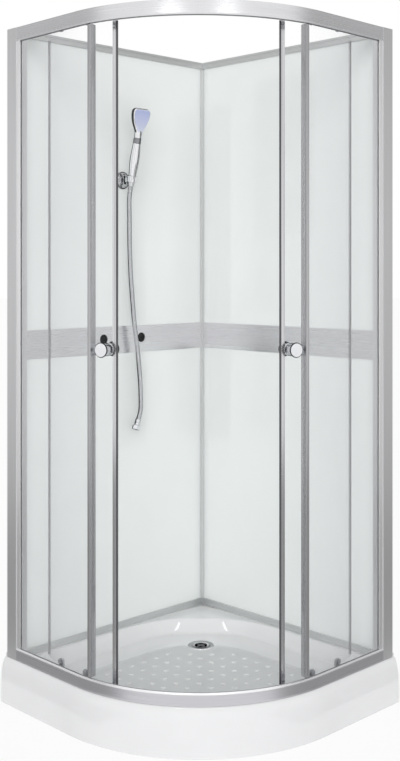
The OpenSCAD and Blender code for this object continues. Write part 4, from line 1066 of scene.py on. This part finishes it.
def on_handset(points):
    """Points in the handset's own axes, in millimetres, placed in the room in metres."""
    points = np.asarray(points, float)
    level = points[:, :1] * SHOWER_OUT + points[:, 1:2] * np.array([0.0, 1.0, 0.0])
    return (HANDSET + level + points[:, 2:] * SHOWER_UP) * MM


def loft(sections, sides=56):
    """Closed superellipses (height, shift, half thickness, half width, exponent), with flat ends."""
    height, shift, thick, wide, power = np.asarray(sections, float).T[:, :, None]
    turn = np.linspace(0, 2 * np.pi, sides, endpoint=False)[None, :]
    x = shift + thick * np.sign(np.cos(turn)) * np.abs(np.cos(turn)) ** (2 / power)
    y = wide * np.sign(np.sin(turn)) * np.abs(np.sin(turn)) ** (2 / power)
    points = np.stack([x, y, np.broadcast_to(height, x.shape)], -1).reshape(-1, 3)
    faces = grid_faces(len(sections), sides, ring=True).tolist()
    return points, faces + loops_at_ends(sides, (len(sections) - 1) * sides)


grip = np.array([
    [14, 0, 11.6, 11.6, 2], [24, 0, 11.8, 11.8, 2], [36, 0, 12.4, 12.4, 2], [55, 0, 13.9, 13.9, 2],
    [75, 0, 15.4, 15.4, 2], [93, 0, 16, 16, 2], [115, 0, 15.3, 15.3, 2], [140, 0, 13.5, 13.5, 2],
    [158, 0, 12.6, 12.6, 2], [170, 0, 12.3, 12.5, 2], [181, 0, 11.4, 13.0, 2.1], [190, 0, 10.2, 15.4, 2.3],
    [200, 0, 9.4, 21.2, 2.7], [212, 0, 9.0, 28.2, 3.2], [225, 0, 9.0, 33.6, 3.8], [240, 0, 8.9, 37.0, 4.4],
    [252, 0, 8.7, 38.0, 4.6], [259, 0, 8.4, 36.9, 4.6], [264, 0, 7.6, 33.0, 4.2], [267, 0, 5.6, 27.5, 3.6],
    [268, 0, 2.4, 22.0, 3.0],
])


def half_width(height):
    """Half the handset's width at a height, read between its sections."""
    return np.interp(height, grip[:, 0], grip[:, 3])


handset_points, handset_faces = loft(smooth_line(grip, 6))
handset = make_piece("handset", (on_handset(handset_points), handset_faces), handset_chrome,
                     body="handset", replaced=("handset",), sharp=60)
print("handset faces", len(handset.data.polygons))

# %% [markdown]
# The head's rim is framed by a dark band. It needs no piece of its own: the faces whose middles lie on
# the rim get a second material. Their middles are read as one array and compared with the width of
# the head at the same height.

# %% The dark band round the head
handset.data.materials.append(dark_chrome_and_painted_reflection)
middles = np.empty(len(handset.data.polygons) * 3)
handset.data.polygons.foreach_get("center", middles)
own = middles.reshape(-1, 3) / MM - HANDSET
along, forward, aside = own @ SHOWER_UP, own @ SHOWER_OUT, np.abs(own[:, 1])
on_sides = (along > 186) & (aside > half_width(along) - 1.6) & (np.abs(forward) < 7.4)
on_top = (along > 266.4) & (forward < 7)
edge_band = on_sides | on_top
handset.data.polygons.foreach_set("material_index", edge_band.astype(np.int32))
print("faces in the dark band", int(edge_band.sum()))

# %% [markdown]
# The spray face is a soft lavender plate in the head's front, with rows of small silicone nozzles.
# The plate is a thin loft that repeats the head's outline a little inside its rim.

# %% Spray face and nozzles
NOZZLE_STEP = 9.0
rise = np.array([184.0, 186, 190, 198, 210, 225, 240, 250, 257, 261, 263, 263.6])
face_share = np.array([0.35, 0.75, 1, 1, 1, 1, 1, 1, 0.985, 0.95, 0.88, 0.6])
face_half = np.maximum(half_width(rise) - 5.0, 3.0) * face_share
face_thick = np.array([0.3, 0.8, 1.1, 1.3, 1.4, 1.45, 1.45, 1.4, 1.3, 1.1, 0.7, 0.3])
face_sections = np.stack([rise, np.full(12, 8.9), face_thick, face_half, np.full(12, 5.0)], 1)
face_points, face_faces = loft(smooth_line(face_sections, 4))
make_piece("spray_face", (on_handset(face_points), face_faces), spray_plastic, body="handset",
           replaced=("spray_face",), sharp=50)
row_height, column = np.meshgrid(
    np.arange(200.0, 256.0, NOZZLE_STEP), np.arange(-3, 4) * NOZZLE_STEP, indexing="ij")
keep = np.abs(column) < half_width(row_height) - NOZZLE_STEP
nozzle_profile = [[1.7, 0], [1.5, 0.7], [1.1, 1.0], [0.5, 1.05], [0, 0.6]]
nozzle, nozzle_faces = turned(nozzle_profile, (0, 0, 0), (1, 0, 0), 10)
nozzle_place = np.stack([np.full(keep.sum(), 9.5), column[keep], row_height[keep]], 1)
nozzle_points, all_faces = repeated((nozzle / MM, nozzle_faces), nozzle_place)
make_piece("spray_nozzles", (on_handset(nozzle_points), all_faces), nozzle_plastic, body="handset",
           replaced=("spray_face",), sharp=60)
print("nozzles", int(keep.sum()))

# %% [markdown]
# The hose ends in a cone nut below the foot, so that the cradle's slotted ring can hold it. A slim
# dark ring at the neck under the head is a painted reflection of the dark band that the chrome mirrors
# there. Both are turned about the handset's own axis.

# %% Cone nut and the neck's painted reflection ring
cone_profile = [[0, 0], [8.6, 0], [9.1, 0.8], [9.6, 3], [10.6, 11.5], [11, 13], [11, 13.9], [0, 13.9]]
neck_profile = [
    [13.2, 148], [13.75, 149.5], [13.4, 153], [13.1, 158], [12.9, 163], [12.7, 167], [12.1, 168.5]]
make_piece("cone_nut", turned(cone_profile, HANDSET * MM, SHOWER_UP), chrome, body="handset",
           replaced=("cone_nut",), sharp=40)
# The dark ring at the neck is a painted reflection.
make_piece("neck_reflection_ring", turned(neck_profile, HANDSET * MM, SHOWER_UP), painted_reflection_chrome, body="handset",
           replaced=("handset",), sharp=50)
print("cone nut and neck ring")

# %% [markdown]
# ## Rosette and cradle
#
# The wall rosette is a stepped disc with a short arm and a barrel. The cradle turns on that barrel:
# two ears on its pin and a ring, open at the front, that takes the handset's foot.

# %% Rosette, arm and barrel
SWIVEL = np.array([-0.389, 0.027, 1.691])
WALL_SPOT = (-0.416, 0.027, 1.691)
rosette_profile = [
    [0, 0], [29.4, 0], [30, 0.6], [30, 3.4], [29.4, 4], [27.2, 4.2], [26.9, 5], [26.9, 7.2], [26, 8.2],
    [21, 9.4], [18.6, 10], [16, 11.8], [10, 12], [7.5, 12.6], [7.5, 26], [0, 26]]
barrel_profile = [[3.05, -8], [7.2, -8], [8, -7.3], [8, 7.3], [7.2, 8], [3.05, 8], [3.05, -8]]
rosette = joined(turned(rosette_profile, WALL_SPOT, (1, 0, 0)), turned(barrel_profile, SWIVEL, (0, 1, 0), 40))
make_piece("shower_rosette", rosette, rosette_chrome,
           replaced=("shower_rosette",), sharp=35)
print("rosette, faces", len(rosette[1]))

# %% [markdown]
# The ring is a section turned through 294 degrees, so that the hose can slip in at the front. Its bore
# is a cone, like the handset's foot. The two ears are flat plates with rounded ends.

# %% The cradle
def split_ring(inner_low, inner_high, wall, low, high, opening, stations=60):
    """A ring about the handset's axis with a gap at the front: one section turned past the gap."""
    angle = np.radians(np.linspace(opening / 2, 360 - opening / 2, stations))[:, None]
    bevel = 0.8
    section = np.array([
        [inner_low, low], [inner_low + wall - bevel, low], [inner_low + wall, low + bevel],
        [inner_high + wall, high - bevel], [inner_high + wall - bevel, high], [inner_high, high]])
    x = np.cos(angle) * section[None, :, 0]
    y = np.sin(angle) * section[None, :, 0]
    points = np.stack([x, y, np.broadcast_to(section[None, :, 1], x.shape)], -1).reshape(-1, 3)
    ends = loops_at_ends(len(section), (stations - 1) * len(section))
    return on_handset(points), grid_faces(stations, len(section), ring=True).tolist() + ends


def ear(side):
    """A rounded lug from the barrel's end to the ring."""
    outline = [[-8, 0], [-5.6, -5.6], [0, -8], [11, -8], [11, 8], [0, 8], [-5.6, 5.6]]
    start = SWIVEL / MM + np.array([0, 8.05 if side > 0 else -12.05, 0])
    return straight(eased(outline, [4, 4, 4, 2, 2, 4, 4], steps=4), start, (0, 1, 0), (1, 0, 0), (0, 0, 1), 4)


pin_profile = [[0, -12.6], [2.6, -12.6], [3, -12.2], [3, 12.2], [2.6, 12.6], [0, 12.6]]
pin = turned(pin_profile, SWIVEL, (0, 1, 0), 32)
cradle = joined(split_ring(11.75, 12.5, 4.4, 14.2, 35.8, 66), ear(1), ear(-1), pin)
make_piece("shower_cradle", cradle, chrome, body="holder",
           replaced=("shower_cradle",), sharp=35)
print("cradle, faces", len(cradle[1]))

# %% [markdown]
# ## The drain
#
# A polished flange lies in the floor, dished towards a dark grate with a cross in the middle. Flange
# and cup are turned, and the cross is two short bars, bright on the dark cup.

# %% Flange and grate
DRAIN = np.array([*WASTE, 0.0]) * MM
flange_profile = [
    [44, 90], [44, 91.2], [43.2, 92.2], [41.5, 92.5], [34, 92.1], [27, 91.0], [23.6, 90.2], [23.2, 89.6],
    [21.7, 88.4], [21.6, 86], [17.6, 86], [17.6, 77], [26, 77], [26, 90], [44, 90]]
cup_profile = [
    [0, 88.6], [14, 88.6], [18.5, 88.9], [20.8, 90], [21.4, 91.6], [21.4, 92.2], [20.4, 92.4],
    [19.6, 91.6], [17, 90.4], [13, 90.0], [0, 90.0], [0, 88.6]]
make_piece("drain_flange", turned(flange_profile, DRAIN, (0, 0, 1), 64), bright_chrome,
           replaced=("drain_flange",), sharp=40)
BAR = 3.2
spoke = box_outline(-17, 17, 89.8, 91.6, 0.5)
cross = joined(
    straight(spoke, (WASTE[0], WASTE[1] - BAR / 2, 0), (0, 1, 0), (1, 0, 0), (0, 0, 1), BAR),
    straight(spoke, (WASTE[0] - BAR / 2, WASTE[1], 0), (1, 0, 0), (0, 1, 0), (0, 0, 1), BAR))
make_piece("drain_grate", turned(cup_profile, DRAIN, (0, 0, 1)), dark_chrome_and_painted_reflection,
           replaced=("drain_grate",), sharp=40)
make_piece("drain_cross", cross, bright_chrome, replaced=("drain_grate",), sharp=40)
print("drain at", DRAIN)

# %% [markdown]
# The left band has two holes for the mixer's unions. A thin black disc sits a few millimetres below
# the face in each: painted shade for the dark inside of the hole. Each disc is a turned shape with a
# raised rim.

# %% Black discs of painted shade in the band's holes
disc_profile = [
    [0, -4.2], [11, -4.2], [12, -3.4], [13.7, -1.6], [15.1, -1.2], [16.6, -1.8], [16.8, -4.6],
    [13.7, -6.2], [0, -6.2]]
HALF_SPACING = 0.085
discs = [turned(disc_profile, (-0.4135, 0.028 + side * HALF_SPACING, 1.141), (1, 0, 0), 40)
         for side in (-1, 1)]
# The black discs are painted shade for the dark inside of the holes.
make_piece("band_hole_shade_discs", joined(*discs), hole_shade_black, sharp=40)
print("blanking discs", len(discs))

# %% [markdown]
# ## Finishes on the pieces that stay as built
#
# Flat and hidden pieces keep their CAD shape and only get their finish. A table from node to finish
# is enough: the mesh stays as it is, and its one material slot is filled.

# %% Dress the remaining CAD nodes
finish_of = {
    "left_post": post_metal, "right_post": post_metal, "corner_post": corner_metal,
    "left_stile": stile_metal, "right_stile": stile_metal,
    "left_top_bar": bar_metal, "right_top_bar": bar_metal,
    "left_sill_bar": bar_metal, "right_sill_bar": bar_metal,
    "left_band": band_metal, "right_band": band_metal,
    "left_upper_panel": wall_white, "right_upper_panel": wall_white,
    "left_lower_panel": wall_white, "right_lower_panel": wall_white,
    "tray_frame": steel_paint, "foot_studs": zinc, "foot_nuts": zinc, "foot_pads": pad_rubber,
    "drain_gasket": soft_seal, "drain_trap": trap_plastic, "door_stops": soft_seal, "frame_screws": zinc,
}
for name, material in finish_of.items():
    nodes[name].data.materials.clear()
    nodes[name].data.materials.append(material)
print("finished CAD nodes:", len(finish_of))

# %% [markdown]
# ## Floor and light
#
# A white floor stands for the studio. Its colour makes the background white for the camera and for
# everything that mirrors or looks through, while the part that catches light keeps a soft shadow. Floor
# and sky both need to know which rays see them as background, so that test is a helper of its own.

# %% The floor
def maximum(tree, first, second):
    """The larger of two values."""
    larger = tree.nodes.new("ShaderNodeMath")
    larger.operation = "MAXIMUM"
    tree.links.new(first, larger.inputs[0])
    tree.links.new(second, larger.inputs[1])
    return larger.outputs[0]


def background_rays(tree):
    """1 for rays from the camera, off a mirror or through glass, and 0 for those that gather light."""
    ways = tree.nodes.new("ShaderNodeLightPath").outputs
    first = maximum(tree, ways["Is Camera Ray"], ways["Is Glossy Ray"])
    return maximum(tree, first, ways["Is Transmission Ray"])


def white_floor(name, share):
    """White paint, of which background rays see a share as plain white light."""
    material, tree, shader = new_finish(name, (0.92, 0.92, 0.92), 0.8)
    glow = tree.nodes.new("ShaderNodeEmission")
    mix = tree.nodes.new("ShaderNodeMixShader")
    tree.links.new(ranged(tree, background_rays(tree), 0.0, share, 0.0, 1.0), mix.inputs["Fac"])
    tree.links.new(shader.outputs["BSDF"], mix.inputs[1])
    tree.links.new(glow.outputs["Emission"], mix.inputs[2])
    tree.links.new(mix.outputs["Shader"], tree.nodes["Material Output"].inputs["Surface"])
    return material


def stage_quad(name, corners, material):
    """A four-sided face that belongs to the studio and not to the object."""
    mesh = bpy.data.meshes.new(name)
    mesh.from_pydata(corners, [], [(0, 1, 2, 3)])
    mesh.materials.append(material)
    quad = bpy.data.objects.new(name, mesh)
    bpy.context.scene.collection.objects.link(quad)
    return quad


REACH = 40
DROP = -0.001
floor_corners = [(-REACH, -REACH, DROP), (REACH, -REACH, DROP), (REACH, REACH, DROP), (-REACH, REACH, DROP)]
stage_quad("floor", floor_corners, white_floor("studio_floor", 0.9))
print("floor ready")

# %% [markdown]
# One wide sun from the camera's side and an even sky give each surface about the light at which its
# colour looks as written. The sun is as wide as a large soft box, so shadows have no hard edge, and
# it stays out of reflections.

# %% Sky and sun
SKY_LIGHT = 0.66
SUN_LIGHT = 1.62
SUN_WIDTH = 50
world = bpy.data.worlds.new("studio_sky")
bpy.context.scene.world = world
world.use_nodes = True
sky = world.node_tree
background = sky.nodes["Background"]
background.inputs["Color"].default_value = (1, 1, 1, 1)
sky.links.new(ranged(sky, background_rays(sky), SKY_LIGHT, 1.0, 0.0, 1.0), background.inputs["Strength"])

lamp = bpy.data.lights.new("key", "SUN")
lamp.energy = SUN_LIGHT
lamp.angle = math.radians(SUN_WIDTH)
sun = bpy.data.objects.new("key", lamp)
bpy.context.scene.collection.objects.link(sun)
aim = np.array([-0.69, 0.69, -0.16])
tilt = math.acos(-aim[2] / np.linalg.norm(aim))
sun.rotation_euler = (tilt, 0, math.atan2(-aim[0], aim[1]))
sun.visible_glossy = False
bpy.context.scene.view_settings.view_transform = "Standard"
print("sky and sun")

# %% [markdown]
# Polished metal shows what stands round it. In an all white room it has no shape, so photographers put
# dark cards beside the object, out of the picture. Two tall ones stand left and right in front of the
# cabin and darken the ends of the rails and the posts, and two lie on the floor before them. They can
# only be seen in reflections.

# %% Cards that only reflections show
def glossy_card(name, corners, material):
    """A four-sided card that only reflections show."""
    card = stage_quad(name, corners, material)
    card.visible_camera = False
    card.visible_diffuse = False
    card.visible_shadow = False
    card.visible_transmission = False


def bare_glow(name):
    """A material that only glows, with nothing else in it."""
    material = bpy.data.materials.new(name)
    material.use_nodes = True
    tree = material.node_tree
    tree.nodes.remove(tree.nodes["Principled BSDF"])
    glow = tree.nodes.new("ShaderNodeEmission")
    tree.links.new(glow.outputs["Emission"], tree.nodes["Material Output"].inputs["Surface"])
    return material, tree, glow


def upright(corner_a, corner_b, low, high):
    """The four corners of an upright card between two points of the plan."""
    return [(*corner_a, low), (*corner_b, low), (*corner_b, high), (*corner_a, high)]


def plain_shade(name, shade, strength=1.0):
    """A glow of one even grey."""
    material, tree, glow = bare_glow(name)
    glow.inputs["Color"].default_value = (shade, shade, shade, 1)
    glow.inputs["Strength"].default_value = strength
    return material


def tall_card(name, corner_a, corner_b, shades, low=0.0, high=4.5):
    """An upright card between two floor points, whose shade passes through steps from foot to top."""
    material, tree, glow = bare_glow(name)
    place = tree.nodes.new("ShaderNodeTexCoord")
    apart = tree.nodes.new("ShaderNodeSeparateXYZ")
    ramp = tree.nodes.new("ShaderNodeValToRGB")
    ramp.color_ramp.elements[0].color = (*[shades[0]] * 3, 1)
    ramp.color_ramp.elements[1].color = (*[shades[-1]] * 3, 1)
    for step, shade in enumerate(shades[1:-1], 1):
        ramp.color_ramp.elements.new(step / (len(shades) - 1)).color = (shade, shade, shade, 1)
    tree.links.new(place.outputs["Object"], apart.inputs["Vector"])
    tree.links.new(ranged(tree, apart.outputs["Z"], 0, 1, low, high), ramp.inputs["Fac"])
    tree.links.new(ramp.outputs["Color"], glow.inputs["Color"])
    glossy_card(name, upright(corner_a, corner_b, low, high), material)


tall_card("left_card", (-3.6, -1.0), (-1.7, -3.2), (0.55, 0.66, 0.74, 0.72, 0.58, 0.42, 0.36))
tall_card("right_card", (1.0, 3.6), (3.2, 1.7), (0.5, 0.58, 0.64, 0.6, 0.5, 0.38, 0.3))
floor_grey = plain_shade("floor_card_grey", 0.36)
left_plan = [(-4, -0.6), (-4, -4), (0.3, -4), (-0.05, -0.6)]
right_plan = [(0.6, 4), (0.6, 0.05), (4, -0.3), (4, 4)]
glossy_card("left_floor_card", [(x, y, 0.002) for x, y in left_plan], floor_grey)
glossy_card("right_floor_card", [(x, y, 0.002) for x, y in right_plan], floor_grey)
print("tall cards and floor cards")

# %% [markdown]
# The chrome of the hand shower shows black streaks beside its bright ones, so it needs darker things
# close by. Narrow black cards stand just off the walls behind the hose, beside it and across from the
# rosette, with a gap at the band, which would mirror them. Two small bright cards overhead leave the
# two highlights on the basin's back slope.

# %% Black and bright cards
near_black = plain_shade("chrome_card_black", 0.02)
for part, (low, high) in enumerate(((0.76, 1.08), (1.195, 1.98))):
    glossy_card(f"behind_hose_{part}", upright((-0.414, -0.01), (-0.414, 0.14), low, high), near_black)
    glossy_card(f"beside_hose_{part}", upright((-0.385, 0.414), (-0.27, 0.414), low, high), near_black)
glossy_card("across_rosette", upright((-0.15, 0.413), (0.13, 0.413), 1.5, 2.05), near_black)

SPARK_HALF = 0.11
SPARK_HEIGHT = 2.9
spark = plain_shade("spark_white", 1.0, strength=13)
corner_signs = ((-1, -1), (1, -1), (1, 1), (-1, 1))
for side in (-1, 1):
    x, y = 1.35 + 0.45 * side, -1.35 + 0.45 * side
    spark_corners = [(x + SPARK_HALF * i, y + SPARK_HALF * j, SPARK_HEIGHT) for i, j in corner_signs]
    glossy_card(f"spark_{side + 1}", spark_corners, spark)
print("black and bright cards")
